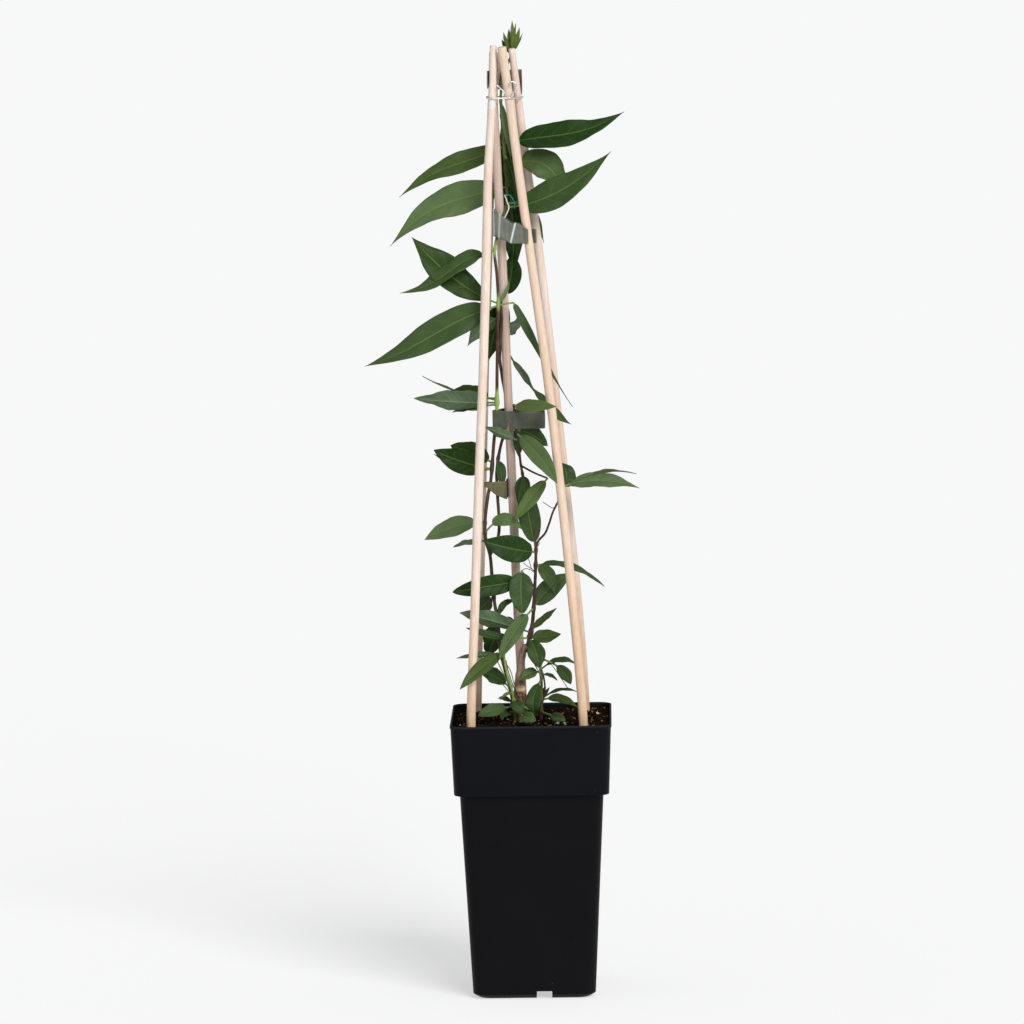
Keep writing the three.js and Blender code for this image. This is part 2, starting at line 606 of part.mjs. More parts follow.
// Soil: its top rises and falls in rings of the pot's own outline; canes and stems stand in holes
function soilTop(x, y) {
  const coarse = Math.sin(0.13 * x + 1.1) * Math.cos(0.11 * y - 0.4);
  const fine = Math.sin(0.37 * x + 0.6 * Math.sin(0.23 * y)) * Math.sin(0.41 * y + 1.7);
  return SOIL_TOP + SOIL_RELIEF * (0.7 * coarse + 0.5 * fine);
}

function deeper([[x, y, z], ...rest]) {
  return [[x, y, z - GAP], ...rest];
}

function soil() {
  const rings = insideProfile.slice(0, -1).map(([half, z], k) => (
    roundedSquare(half - GAP, CORNER_RADIUS - WALL, k === 0 ? z + GAP : z)
  ));
  const soilHalf = RIM_HALF - WALL - 0.2 - GAP;
  const ringCount = 7;
  for (let i = 0; i < ringCount; i += 1) {
    const share = 1 - i / ringCount;
    const outline = roundedSquare(soilHalf, CORNER_RADIUS - WALL, 0);
    rings.push(outline.map((p) => (
      new THREE.Vector3(p.x * share, p.y * share, soilTop(p.x * share, p.y * share))
    )));
  }
  let body = solid(loft(rings)).subtract(channels(WALL + GAP));
  for (const [name, points] of Object.entries(canes)) {
    body = body.subtract(solid(caneTube(name, deeper(points), GAP)));
  }
  for (const stem of [stems.left, stems.rightBase, stems.front, stems.low, stump]) {
    body = body.subtract(solid(stemTube({ ...stem, points: deeper(stem.points) }, GAP)));
  }
  return surface(body);
}

place('soil', soil(), soilMaterial);

// Bands: a loop drawn round circles in plan, as a cord pulled round a bunch of rods lies
function loopRound(circles, clearance, steps, from = 0, to = 1) {
  return Array.from({ length: steps + (to - from < 1 ? 1 : 0) }, (_, k) => {
    const angle = 2 * Math.PI * (from + (to - from) * k / steps);
    const direction = new THREE.Vector2(Math.cos(angle), Math.sin(angle));
    const reach = ([x, y, r]) => x * direction.x + y * direction.y + r;
    const [x, y, r] = circles.reduce((best, circle) => (reach(circle) > reach(best) ? circle : best));
    return new THREE.Vector2(x, y).addScaledVector(direction, r + clearance);
  });
}

// A closed or open ribbon of tape: edges gives its lower and upper edge at a place in plan
function ribbon(line, closed, edges) {
  const count = line.length;
  const rings = line.map((p, k) => {
    const before = line[closed ? (k + count - 1) % count : Math.max(0, k - 1)];
    const after = line[closed ? (k + 1) % count : Math.min(count - 1, k + 1)];
    const along = after.clone().sub(before).normalize();
    const outward = new THREE.Vector2(along.y, -along.x).multiplyScalar(TAPE_THICKNESS);
    const [low, high] = edges(p);
    return [
      new THREE.Vector3(p.x, p.y, low),
      new THREE.Vector3(p.x + outward.x, p.y + outward.y, low),
      new THREE.Vector3(p.x + outward.x, p.y + outward.y, high),
      new THREE.Vector3(p.x, p.y, high),
    ];
  });
  return closed ? closedLoft(rings) : loft(rings);
}

// Rings joined end to end into a closed hoop
function closedLoft(rings) {
  const count = rings[0].length;
  const positions = rings.flat().flatMap((p) => [p.x, p.y, p.z]);
  const index = [];
  for (let i = 0; i < rings.length; i += 1) {
    const next = (i + 1) % rings.length;
    for (let k = 0; k < count; k += 1) {
      const a = i * count + k;
      const b = i * count + (k + 1) % count;
      const c = next * count + k;
      const d = next * count + (k + 1) % count;
      index.push(a, b, d, a, d, c);
    }
  }
  const geometry = new THREE.BufferGeometry();
  geometry.setAttribute('position', new THREE.Float32BufferAttribute(positions, 3));
  geometry.setIndex(index);
  if (signedVolume(geometry) < 0) geometry.index.array.reverse();
  return geometry;
}

const caneCircle = (name, height) => {
  const p = pointAtHeight({ points: canes[name] }, height);
  return [p.x, p.y, caneRadius(name, height)];
};
const stemCircle = (stem, height) => {
  const p = pointAtHeight(stem, height);
  return [p.x, p.y, 1.4];
};
const ramp = (x, x0, x1, y0, y1) => y0 + (y1 - y0) * THREE.MathUtils.clamp((x - x0) / (x1 - x0), 0, 1);
const BAND_STEPS = 30;

const upperLoop = loopRound([
  caneCircle('cane_centre', 574),
  caneCircle('cane_front_right', 563),
  caneCircle('cane_front_right', 574),
  stemCircle(stems.left, 572),
  [-20.5, -3.6, 1.6],
], 0.9, BAND_STEPS, 0.14, 0.745);
const upperEnd = new THREE.Vector2(8.6, -13.2);
place('upper_tape', ribbon([upperEnd, ...upperLoop], false, (p) => ([
  ramp(p.x, -22.9, -9.6, 567, 562),
  ramp(p.x, -22.9, -9.6, 587.5, 577) - ramp(p.x, -4, 3, 0, 4.5),
])), tapeMaterial);

const middleLoop = loopRound([
  caneCircle('cane_centre', 431),
  stemCircle(stems.left, 427),
  stemCircle(stems.left, 437),
  stemCircle(stems.leftStrand, 422),
  stemCircle(stems.leftStrand, 435),
  stemCircle(stems.rightMiddle, 430),
  [10, -4, 2],
  [10, 3, 2],
], 0.8, BAND_STEPS);
const notch = (p) => (p.y < 0 ? Math.max(0, 8.4 - 2.9 * Math.abs(p.x + 12.4)) : 0);
place('middle_tape', ribbon(middleLoop, true, (p) => (
  [423.4 + notch(p), ramp(p.x, -24.5, 12.5, 437.5, 435.7)]
)), tapeMaterial);

// The lower tape hooks round the left stem and ends behind the middle cane
const lowerLine = [
  [-9.5, 8.3], [-13, 8], [-15.8, 5.8], [-15.9, 2.5], [-16, -7], [-20.4, -9.8], [-26, -11],
  [-30, -11.3], [-32.5, -10.2], [-32.9, -8], [-31.6, -6], [-29, -5.3],
].map(([x, y]) => new THREE.Vector2(x, y));
place('lower_tape', ribbon(lowerLine, false, (p) => (
  [ramp(p.x, -31, -24, 380.5, 374.5) - ramp(p.x, -24, -14, 0, 4.5), ramp(p.x, -31, -14, 384, 385)]
)), tapeMaterial);

const canesAt = (height) => Object.keys(canes).map((name) => caneCircle(name, height));
const topLoop = loopRound([...canesAt(674), ...canesAt(682), ...canesAt(689)], 0.6, 26, 0.03, 0.58);
place('top_tape', ribbon(topLoop, false, (p) => (
  [ramp(p.x, -26, 2, 676.4, 670.8), ramp(p.x, -26, 2, 688.5, 690)]
)), tapeMaterial);

// Wire tie: a hoop round all five canes, with its twisted ends standing up at the front
function wireTie() {
  const hoop = loopRound(canesAt(669), 0.4 + WIRE_RADIUS, 30);
  const rings = hoop.map((p, k) => {
    const before = hoop[(k + hoop.length - 1) % hoop.length];
    const after = hoop[(k + 1) % hoop.length];
    const along = after.clone().sub(before).normalize();
    return Array.from({ length: 5 }, (_, side) => {
      const angle = 2 * Math.PI * side / 5;
      const out = WIRE_RADIUS * Math.cos(angle);
      return new THREE.Vector3(
        p.x + along.y * out,
        p.y - along.x * out,
        669.3 + WIRE_RADIUS * Math.sin(angle),
      );
    });
  });
  const curl = [
    [-8.6, -9.2, 669.2], [-6.9, -9.8, 673.1], [-5.1, -10, 675.5], [-4.5, -10.2, 679.2],
    [-6.6, -10.4, 681.3], [-8.7, -10.8, 681.1], [-9, -11, 678.3],
  ];
  const tail = [[-10, -9.6, 669.3], [-12.8, -11, 673.2], [-15.7, -11.6, 676.2], [-18.6, -12, 679.2]];
  return surface(fuse([
    closedLoft(rings),
    tube(curl, () => WIRE_RADIUS, 5, 12),
    tube(tail, () => WIRE_RADIUS, 5, 5),
  ]));
}

place('wire_tie', wireTie(), wireMaterial);

// Twist tie: a small hoop round the upper stem with two loose ends
function twistTie() {
  const hoop = Array.from({ length: 16 }, (_, k) => {
    const angle = 2 * Math.PI * k / 16;
    return [-13 + 2.1 * Math.cos(angle), 3.9 + 2.1 * Math.sin(angle), 597];
  });
  const whiteEnd = [[-14.4, 2.2, 597], [-12.6, -1.6, 592], [-11.4, -3.4, 587.5], [-14.8, -5, 580]];
  const greenEnd = [[-11.6, 2.2, 597], [-9.8, -2.4, 596.6], [-7.4, -3.4, 592], [-7.2, -3.2, 587]];
  return surface(fuse([
    tube([...hoop, hoop[0]], () => TIE_RADIUS, 5, 16),
    tube(whiteEnd, () => TIE_RADIUS, 5, 6),
    tube(greenEnd, () => TIE_RADIUS, 5, 6),
  ]));
}

place('twist_tie', twistTie(), tieMaterial);

export default potted;
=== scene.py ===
"""Potted climbing honeysuckle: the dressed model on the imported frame. Lengths below are millimetres."""

import math

import bpy
import numpy as np
from mathutils import Matrix, Vector


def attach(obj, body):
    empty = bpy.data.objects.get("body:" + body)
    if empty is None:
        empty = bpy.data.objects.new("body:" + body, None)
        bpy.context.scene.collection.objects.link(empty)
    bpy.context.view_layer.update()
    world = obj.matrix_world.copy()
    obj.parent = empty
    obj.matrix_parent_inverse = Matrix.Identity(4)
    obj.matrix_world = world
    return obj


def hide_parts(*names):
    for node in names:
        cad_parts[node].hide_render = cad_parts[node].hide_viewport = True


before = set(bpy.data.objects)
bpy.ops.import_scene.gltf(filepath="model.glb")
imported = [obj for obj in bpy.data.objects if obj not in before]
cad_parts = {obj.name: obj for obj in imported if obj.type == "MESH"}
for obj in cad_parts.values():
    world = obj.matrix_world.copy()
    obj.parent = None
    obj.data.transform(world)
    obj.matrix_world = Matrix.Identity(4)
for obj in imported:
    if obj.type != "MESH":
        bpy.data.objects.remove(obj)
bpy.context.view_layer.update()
MM = 0.001
scene = bpy.context.scene


# Meshes from whole arrays
def put_mesh(name, parts, materials, smooth=True):
    """Joins parts into one piece. A part is (points, faces, numbers, slot): points (n, 3) in mm, faces a list
    of whole arrays of corner indices, numbers a dict of one value a point, slot the material's place."""
    numbers_used = sorted({key for part in parts for key in part[2]})
    points = np.concatenate([part[0] for part in parts]) * MM
    starts, loops, slots = [], [], []
    offset = loop_count = 0
    for part_points, faces, _, slot in parts:
        for face_array in faces:
            count, corners = face_array.shape
            loops.append((face_array + offset).ravel())
            starts.append(loop_count + corners * np.arange(count))
            slots.append(np.full(count, slot))
            loop_count += count * corners
        offset += len(part_points)
    mesh = bpy.data.meshes.new(name)
    mesh.vertices.add(len(points))
    mesh.vertices.foreach_set("co", points.astype(np.float32).ravel())
    mesh.loops.add(loop_count)
    mesh.loops.foreach_set("vertex_index", np.concatenate(loops).astype(np.int32))
    starts = np.concatenate(starts).astype(np.int32)
    mesh.polygons.add(len(starts))
    mesh.polygons.foreach_set("loop_start", starts)
    mesh.polygons.foreach_set("material_index", np.concatenate(slots).astype(np.int32))
    mesh.polygons.foreach_set("use_smooth", np.full(len(starts), smooth))
    for key in numbers_used:
        values = [np.broadcast_to(part[2].get(key, 0.0), len(part[0])) for part in parts]
        mesh.attributes.new(key, "FLOAT", "POINT").data.foreach_set(
            "value", np.concatenate(values).astype(np.float32)
        )
    for material in materials:
        mesh.materials.append(material)
    mesh.update()
    mesh.validate()
    piece = bpy.data.objects.new(name, mesh)
    scene.collection.objects.link(piece)
    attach(piece, "root")
    return piece


def wrap_faces(rings, around):
    """Four-cornered faces between neighbouring closed rings of a grid with that many points around."""
    i = np.arange(rings - 1)[:, None]
    k = np.arange(around)[None, :]
    n = (k + 1) % around
    return np.stack([i * around + k, i * around + n, (i + 1) * around + n, (i + 1) * around + k], -1).reshape(-1, 4)


def zip_caps(rings, around):
    """Closes both ends of a grid of flat rings: point i of the upper row meets its partner in the lower row."""
    i = np.arange(around // 2 - 1)
    cap = np.stack([i, i + 1, around - 2 - i, around - 1 - i], -1)
    return np.concatenate([cap[:, ::-1], cap + (rings - 1) * around])


def curve_at(knots, t):
    """Places at t from 0 to 1 on the smooth curve through the knots: on each stretch between two knots, the
    cubic that leaves and arrives in the direction from the knot before to the knot after."""
    knots = np.asarray(knots, float)
    padded = np.vstack([2 * knots[0] - knots[1], knots, 2 * knots[-1] - knots[-2]])
    u = np.clip(np.asarray(t, float), 0, 1) * (len(knots) - 1)
    i = np.minimum(u.astype(int), len(knots) - 2)
    w = (u - i)[..., None]
    a, b, c, d = padded[i], padded[i + 1], padded[i + 2], padded[i + 3]
    return b + 0.5 * w * (c - a + w * (2 * a - 5 * b + 4 * c - d + w * (3 * (b - c) + d - a)))


def unit(v):
    return v / np.maximum(np.linalg.norm(v, axis=-1, keepdims=True), 1e-9)


def tube(knots, radius, sides=16, rings=60, numbers=None, slot=0):
    """A round bar along the curve: ring centre plus radius times (across cos + other sin). radius is a
    function of the place t along it, or a number. Each end closes over a small chamfer."""
    t = np.linspace(0, 1, rings)
    centre = curve_at(knots, t)
    along = unit(np.gradient(centre, axis=0))
    helper = np.where(np.abs(along[:, 1:2]) > 0.9, [[1.0, 0, 0]], [[0, 1.0, 0]])
    across = unit(helper - (helper * along).sum(1, keepdims=True) * along)
    other = np.cross(along, across)
    size = radius(t) if callable(radius) else np.full(rings, float(radius))
    angle = 2 * np.pi * np.arange(sides) / sides
    spokes = across[:, None] * np.cos(angle)[:, None] + other[:, None] * np.sin(angle)[:, None]
    points = centre[:, None] + spokes * size[:, None, None]
    lip = min(0.25, 0.3 * size[-1])
    points[0] = centre[0] + spokes[0] * (size[0] - lip)
    points[-1] = centre[-1] + spokes[-1] * (size[-1] - lip)
    points[1] = centre[0] + along[0] * lip + spokes[0] * size[0]
    points[-2] = centre[-1] - along[-1] * lip + spokes[-1] * size[-1]
    points = points.reshape(-1, 3)
    faces = wrap_faces(rings, sides)
    k = np.arange(sides)
    hub = len(points)
    points = np.vstack([points, centre[0], centre[-1]])
    last = (rings - 1) * sides
    fans = np.vstack([
        np.stack([np.full(sides, hub), (k + 1) % sides, k], -1),
        np.stack([np.full(sides, hub + 1), last + k, last + (k + 1) % sides], -1),
    ])
    values = {"along": np.append(np.repeat(t, sides), [0.0, 1.0])}
    for key, value in (numbers or {}).items():
        values[key] = value(values["along"]) if callable(value) else value
    return points, [faces, fans], values, slot


# Material helpers
class Paint:
    """One node material. Methods add nodes and return their output, so a pattern reads like a sum."""

    def __init__(self, name):
        self.material = bpy.data.materials.new(name)
        self.material.use_nodes = True
        self.tree = self.material.node_tree
        self.shader = self.tree.nodes["Principled BSDF"]

    def node(self, kind, inputs=(), **settings):
        made = self.tree.nodes.new(kind)
        for key, value in settings.items():
            setattr(made, key, value)
        for key, value in dict(inputs).items():
            if isinstance(value, bpy.types.NodeSocket):
                self.tree.links.new(value, made.inputs[key])
            else:
                made.inputs[key].default_value = value
        return made

    def place(self, scale=(1, 1, 1)):
        """Object coordinates times scale, in turns a metre."""
        spot = self.node("ShaderNodeTexCoord").outputs["Object"]
        return self.node("ShaderNodeMapping", {"Vector": spot, "Scale": scale}).outputs[0]

    def number(self, name):
        return self.node("ShaderNodeAttribute", attribute_name=name).outputs["Fac"]

    def noise(self, vector, scale, detail=3.0, rough=0.5):
        return self.node("ShaderNodeTexNoise", {
            "Vector": vector, "Scale": scale, "Detail": detail, "Roughness": rough,
        }).outputs["Fac"]

    def cells(self, vector, scale, feature="F1"):
        made = self.node("ShaderNodeTexVoronoi", {"Vector": vector, "Scale": scale}, feature=feature)
        return made.outputs["Distance"]

    def math(self, operation, a, b=0.0):
        return self.node("ShaderNodeMath", {0: a, 1: b}, operation=operation).outputs[0]

    def span(self, value, low, high, start=0.0, end=1.0):
        """value from low to high becomes start to end, held beyond."""
        return self.node("ShaderNodeMapRange", {
            "Value": value, "From Min": low, "From Max": high, "To Min": start, "To Max": end,
        }).outputs[0]

    def mix(self, share, a, b):
        made = self.node("ShaderNodeMix", data_type="RGBA")
        for index, value in ((0, share), (6, a), (7, b)):
            if isinstance(value, bpy.types.NodeSocket):
                self.tree.links.new(value, made.inputs[index])
            else:
                made.inputs[index].default_value = value
        return made.outputs[2]

    def bump(self, height, depth, normal=None):
        """Relief of that many millimetres for a height from 0 to 1."""
        inputs = {"Height": height, "Distance": depth * MM, "Strength": 1.0}
        if normal is not None:
            inputs["Normal"] = normal
        return self.node("ShaderNodeBump", inputs).outputs[0]

    def finish(self, **sockets):
        """Feeds the shader's sockets: links for outputs, plain values for the rest."""
        for key, value in sockets.items():
            socket = self.shader.inputs[key.replace("_", " ")]
            if isinstance(value, bpy.types.NodeSocket):
                self.tree.links.new(value, socket)
            else:
                socket.default_value = value
        return self.material


def tone(hex_code):
    """Scene colour of a screen colour written as six hexadecimal digits."""
    c = np.array([int(hex_code[i:i + 2], 16) for i in (0, 2, 4)]) / 255
    return tuple(np.where(c <= 0.04045, c / 12.92, ((c + 0.055) / 1.055) ** 2.4)) + (1.0,)


def pot_paint():
    """Black nursery plastic: slightly blue on the collar, faint vertical draw marks, a few pale dust specks, and a
    painted highlight along the top of the rim.
    """
    p = Paint("pot_plastic")
    spot = p.place()
    height = p.node("ShaderNodeSeparateXYZ", {0: spot}).outputs[2]
    collar = p.span(height, 0.1545, 0.1555)
    base = p.mix(collar, tone("0c0c0e"), tone("0c0d13"))
    cloud = p.noise(spot, 28, 4)
    base = p.mix(p.span(cloud, 0.35, 0.75, 0, 0.3), base, tone("131419"))
    dust = p.span(p.cells(p.place((1, 1, 1)), 260), 0.06, 0.03)
    dust = p.math("MULTIPLY", dust, p.span(p.noise(spot, 60, 2), 0.66, 0.72))
    base = p.mix(dust, base, tone("7d8087"))
    # Painted highlight: a lighter band along the rim's top edge, where light catches it.
    lip = p.span(height, 0.2058, 0.2068)
    base = p.mix(p.math("MULTIPLY", lip, 0.25), base, tone("3c3f46"))
    marks = p.noise(p.place((900, 900, 14)), 1.0, 2)
    grain = p.noise(spot, 1500, 2)
    relief = p.bump(grain, 0.03, p.bump(marks, 0.02))
    rough = p.span(cloud, 0.3, 0.7, 0.38, 0.52)
    return p.finish(Base_Color=base, Roughness=rough, Normal=relief, Specular_IOR_Level=0.06)


def cane_paint():
    """Pale round wood: streaks along the grain, pinkish patches, warmer and stained towards the soil, and streaky
    brown painted shade on the canes that stand in the foliage's shadow.
    """
    p = Paint("cane_wood")
    spot = p.place()
    height = p.node("ShaderNodeSeparateXYZ", {0: spot}).outputs[2]
    shade = p.number("shade")
    streak = p.noise(p.place((900, 900, 11)), 1.0, 4, 0.6)
    fine = p.noise(p.place((2600, 2600, 40)), 1.0, 3, 0.6)
    patch = p.noise(p.place((60, 60, 16)), 1.0, 3)
    base = p.mix(p.span(streak, 0.3, 0.7), tone("dcc5b3"), tone("eee1d6"))
    base = p.mix(p.span(patch, 0.5, 0.72, 0, 0.4), base, tone("d8ac93"))
    low = p.span(height, 0.34, 0.2, 0, 0.75)
    base = p.mix(low, base, p.mix(p.span(streak, 0.35, 0.65), tone("c4966d"), tone("dcc1a0")))
    base = p.mix(p.span(fine, 0.62, 0.75, 0, 0.35), base, tone("a97c5d"))
    speck = p.span(p.cells(p.place((500, 500, 160)), 1.0), 0.09, 0.05, 0, 0.6)
    base = p.mix(speck, base, tone("8c6248"))
    base = p.mix(p.math("MULTIPLY", p.number("warm"), 0.35), base, tone("d9b48c"))
    # Painted shade: the cane's number mixes in streaky brown for the foliage's shadow, with some browner wood on the
    # centre cane.
    base = p.mix(shade, base, p.mix(p.span(streak, 0.3, 0.7), tone("6b4a3a"), tone("b99380")))
    film = p.math("MULTIPLY", p.span(height, 0.6612, 0.662), p.span(height, 0.6690, 0.6684))
    base = p.mix(p.math("MULTIPLY", p.math("MULTIPLY", film, p.number("film")), 0.55), base, tone("dfe3e4"))
    relief = p.bump(fine, 0.05, p.bump(streak, 0.08))
    return p.finish(Base_Color=base, Roughness=0.62, Normal=relief, Specular_IOR_Level=0.25)


def leaf_paint():
    """Leaf blade. side and length come from the piece: side runs from -1 to 1 between the margins, length
    from 0 at the petiole to 1 at the tip. Side veins leave the midrib and bend forward with side^1.4."""
    p = Paint("leaf")
    side, length = p.number("side"), p.number("length")
    light, under, hue = p.number("light"), p.number("under"), p.number("hue")
    away = p.math("ABSOLUTE", side)
    forward = p.math("MULTIPLY", p.math("POWER", away, 1.4), 0.16)
    order = p.math("MULTIPLY", p.math("SUBTRACT", p.math("POWER", length, 0.85), forward), p.number("pairs"))
    order = p.math("ADD", order, p.math("MULTIPLY", p.math("SIGN", side), 0.17))
    near = p.math("ABSOLUTE", p.math("SUBTRACT", p.math("FRACT", order), 0.5))
    side_vein = p.math("MULTIPLY", p.span(near, 0.10, 0.02), p.span(away, 0.95, 0.6))
    midrib = p.span(away, 0.075, 0.02)
    spot = p.place()
    net = p.cells(p.place((1, 1, 1)), 620, "DISTANCE_TO_EDGE")
    net_vein = p.span(net, 0.09, 0.02)
    cloud = p.noise(spot, 55, 3)
    fine = p.noise(spot, 260, 3)
    dark = p.mix(hue, tone("1b3009"), tone("1f3516"))
    bright = p.mix(hue, tone("6a7d49"), tone("637654"))
    base = p.mix(light, dark, bright)
    base = p.mix(p.span(cloud, 0.35, 0.7, 0, 0.5), base, p.mix(light, tone("234214"), tone("6f8752")))
    base = p.mix(p.span(fine, 0.5, 0.75, 0, 0.15), base, p.mix(light, tone("0f1f07"), tone("4a672f")))
    base = p.mix(p.math("MULTIPLY", net_vein, 0.04), base, tone("7d9a4e"))
    base = p.mix(p.math("MULTIPLY", side_vein, 0.05), base, tone("7d9a4e"))
    base = p.mix(p.number("young"), base, p.mix(light, tone("35401a"), tone("8a9a4c")))
    margin = p.span(away, 0.95, 1.0, 0, 0.25)
    base = p.mix(margin, base, tone("6b8442"))
    base = p.mix(p.math("MULTIPLY", midrib, 0.28), base, tone("7f9650"))
    stalk = p.span(length, 0.02, -0.02)
    base = p.mix(p.math("MULTIPLY", stalk, 0.8), base, tone("7d9a4e"))
    below = p.mix(p.span(cloud, 0.3, 0.7), tone("44583a"), tone("62755a"))
    below = p.mix(p.math("MULTIPLY", side_vein, 0.3), below, tone("7b8c6c"))
    below = p.mix(p.math("MULTIPLY", midrib, 0.7), below, tone("8c9c72"))
    base = p.mix(under, base, below)
    ribs = p.math("MAXIMUM", side_vein, p.math("MULTIPLY", net_vein, 0.25))
    relief = p.bump(ribs, -0.05, p.bump(fine, 0.04))
    rough = p.mix(under, (0.42, 0.42, 0.42, 1), (0.62, 0.62, 0.62, 1))
    rough = p.math("ADD", rough, p.span(fine, 0.3, 0.7, -0.04, 0.05))
    return p.finish(Base_Color=base, Roughness=rough, Normal=relief, Specular_IOR_Level=0.1)


def stem_paint():
    """Stem: green where young, brown and streaked where age is near 1, cracked tan bark on old wood."""
    p = Paint("stem")
    age = p.number("age")
    streak = p.noise(p.place((700, 700, 60)), 1.0, 3)
    cloud = p.noise(p.place(), 90, 3)
    green = p.mix(p.span(streak, 0.3, 0.7), tone("6f8f3f"), tone("9fb866"))
    brown = p.mix(p.span(streak, 0.3, 0.7), tone("2a1c15"), tone("553c2e"))
    brown = p.mix(p.span(cloud, 0.55, 0.75, 0, 0.5), brown, tone("74594a"))
    base = p.mix(age, green, brown)
    bark = p.mix(p.span(streak, 0.35, 0.65), tone("5f4a3c"), tone("a98f7b"))
    base = p.mix(p.number("bark"), base, bark)
    relief = p.bump(streak, 0.15)
    return p.finish(Base_Color=base, Roughness=0.6, Normal=relief, Specular_IOR_Level=0.3)


def bark_paint():
    """Dry tan bark with dark cracks along the stump."""
    p = Paint("bark")
    streak = p.noise(p.place((500, 500, 60)), 1.0, 4, 0.6)
    cloud = p.noise(p.place(), 160, 3)
    base = p.mix(p.span(streak, 0.35, 0.65), tone("5d4634"), tone("b0937a"))
    base = p.mix(p.span(cloud, 0.55, 0.7, 0, 0.6), base, tone("cfb896"))
    base = p.mix(p.number("cut"), base, p.mix(p.span(cloud, 0.35, 0.65), tone("94795a"), tone("bca681")))
    return p.finish(Base_Color=base, Roughness=0.85, Normal=p.bump(streak, 0.5), Specular_IOR_Level=0.2)


def soil_paint():
    """Dark peat with crumbs a few tenths of a millimetre to some millimetres wide."""
    p = Paint("peat")
    spot = p.place()
    fine = p.noise(spot, 900, 4, 0.65)
    coarse = p.noise(spot, 210, 4, 0.6)
    base = p.mix(p.span(coarse, 0.35, 0.65), tone("0b0704"), tone("1d130b"))
    base = p.mix(p.span(fine, 0.66, 0.76, 0, 0.4), base, tone("5e4227"))
    relief = p.bump(fine, 0.6, p.bump(coarse, 1.2))
    return p.finish(Base_Color=base, Roughness=0.95, Normal=relief, Specular_IOR_Level=0.03)


def crumb_paint():
    """Crumbs on the soil: light runs from 0, wet peat, past tan bark to 1, whitish grit."""
    p = Paint("crumbs")
    light = p.number("light")
    cloud = p.noise(p.place(), 800, 3)
    dark = p.mix(p.span(cloud, 0.3, 0.7), tone("0d0805"), tone("261a10"))
    tan = p.mix(p.span(cloud, 0.3, 0.7), tone("5a3c22"), tone("a67c4e"))
    pale = p.mix(p.span(cloud, 0.3, 0.7), tone("b3aa9b"), tone("e3ddd2"))
    base = p.mix(p.span(light, 0.3, 0.6), dark, tan)
    base = p.mix(p.span(light, 0.8, 0.95), base, pale)
    return p.finish(Base_Color=base, Roughness=0.92, Normal=p.bump(cloud, 0.4), Specular_IOR_Level=0.05)


def tape_paint(name, dark, light, painted_highlights_and_tear=()):
    """Thin tying film: clouded, with pale streaks across it that are painted sheen, the same streaks giving a faint
    relief, and a low gloss.
    pale lines that run up the strip: their x at the foot and at the head, the two heights, width, strength."""
    p = Paint(name)
    spot = p.place()
    x, _, z = p.node("ShaderNodeSeparateXYZ", {0: spot}).outputs
    streak = p.noise(p.place((300, 300, 14)), 1.0, 2, 0.5)
    cloud = p.noise(spot, 90, 3)
    base = p.mix(p.span(cloud, 0.3, 0.7), tone(dark), tone(light))
    # Painted sheen: pale streaks across the strip.
    base = p.mix(p.span(streak, 0.35, 0.7, 0, 0.35), base, tone(light))
    # Pale lines up the strip: painted highlights where the film bends, and a white tear.
    for foot, head, low, high, width, strength in painted_highlights_and_tear:
        line = p.span(z, low * MM, high * MM, foot * MM, head * MM)
        off = p.math("ABSOLUTE", p.math("SUBTRACT", x, line))
        base = p.mix(p.span(off, width * MM, 0.3 * width * MM, 0, strength), base, tone("dfe5e8"))
    relief = p.bump(streak, 0.15, p.bump(cloud, 0.3))
    return p.finish(Base_Color=base, Roughness=0.42, Normal=relief, Specular_IOR_Level=0.3)


def wire_paint():
    """Bright wire with faint drawing lines."""
    p = Paint("bright_wire")
    cloud = p.noise(p.place(), 900, 2)
    return p.finish(
        Base_Color=p.mix(p.span(cloud, 0.3, 0.7), tone("b9bfc4"), tone("eef1f3")),
        Metallic=0.75, Roughness=p.span(cloud, 0.3, 0.7, 0.25, 0.4),
    )


def tie_paint():
    """Coated wire: white at light 0, teal at light 1."""
    p = Paint("tie_coat")
    cloud = p.noise(p.place(), 500, 2)
    teal = p.mix(p.span(cloud, 0.35, 0.65), tone("147a78"), tone("35a9a8"))
    base = p.mix(p.number("light"), tone("eceae6"), teal)
    return p.finish(Base_Color=base, Roughness=0.4, Specular_IOR_Level=0.4)


POT = pot_paint()
CANE = cane_paint()
LEAF = leaf_paint()
STEM = stem_paint()
BARK = bark_paint()
PEAT = soil_paint()
CRUMBS = crumb_paint()
# The grey film's pale lines: two painted highlights where it bends round the stems, then the white tear.
TAPE = tape_paint("grey_film", "5c6156", "828679", [
    (-22.6, -22.8, 567, 585, 0.7, 0.8), (-19, -18.2, 564, 580, 1.1, 0.5), (-10.4, -6.6, 562, 577, 1.0, 0.95),
])
MIDDLE_TAPE = tape_paint("dark_grey_film", "3f4338", "5b5f50")
OLIVE_TAPE = tape_paint("olive_film", "474833", "63603f")
DARK_TAPE = tape_paint("dark_film", "5a5853", "8b8883")
WIRE = wire_paint()
TIE = tie_paint()

# Pot
GAP = 0.3
WALL = 1.5
CORNER_RADIUS = 9.0
RIM_HALF, RIM_TOP = 60.0, 207.6
COLLAR_HALF, COLLAR_BOTTOM = 57.6, 155.0
BODY_TOP_HALF, BODY_LOW_HALF = 53.4, 45.8
CHANNEL_WIDTH, CHANNEL_HEIGHT, CHANNEL_START, CHANNEL_SHIFT = 11.6, 5.8, 16.0, 7.4
DRAIN_RADIUS = 3.5


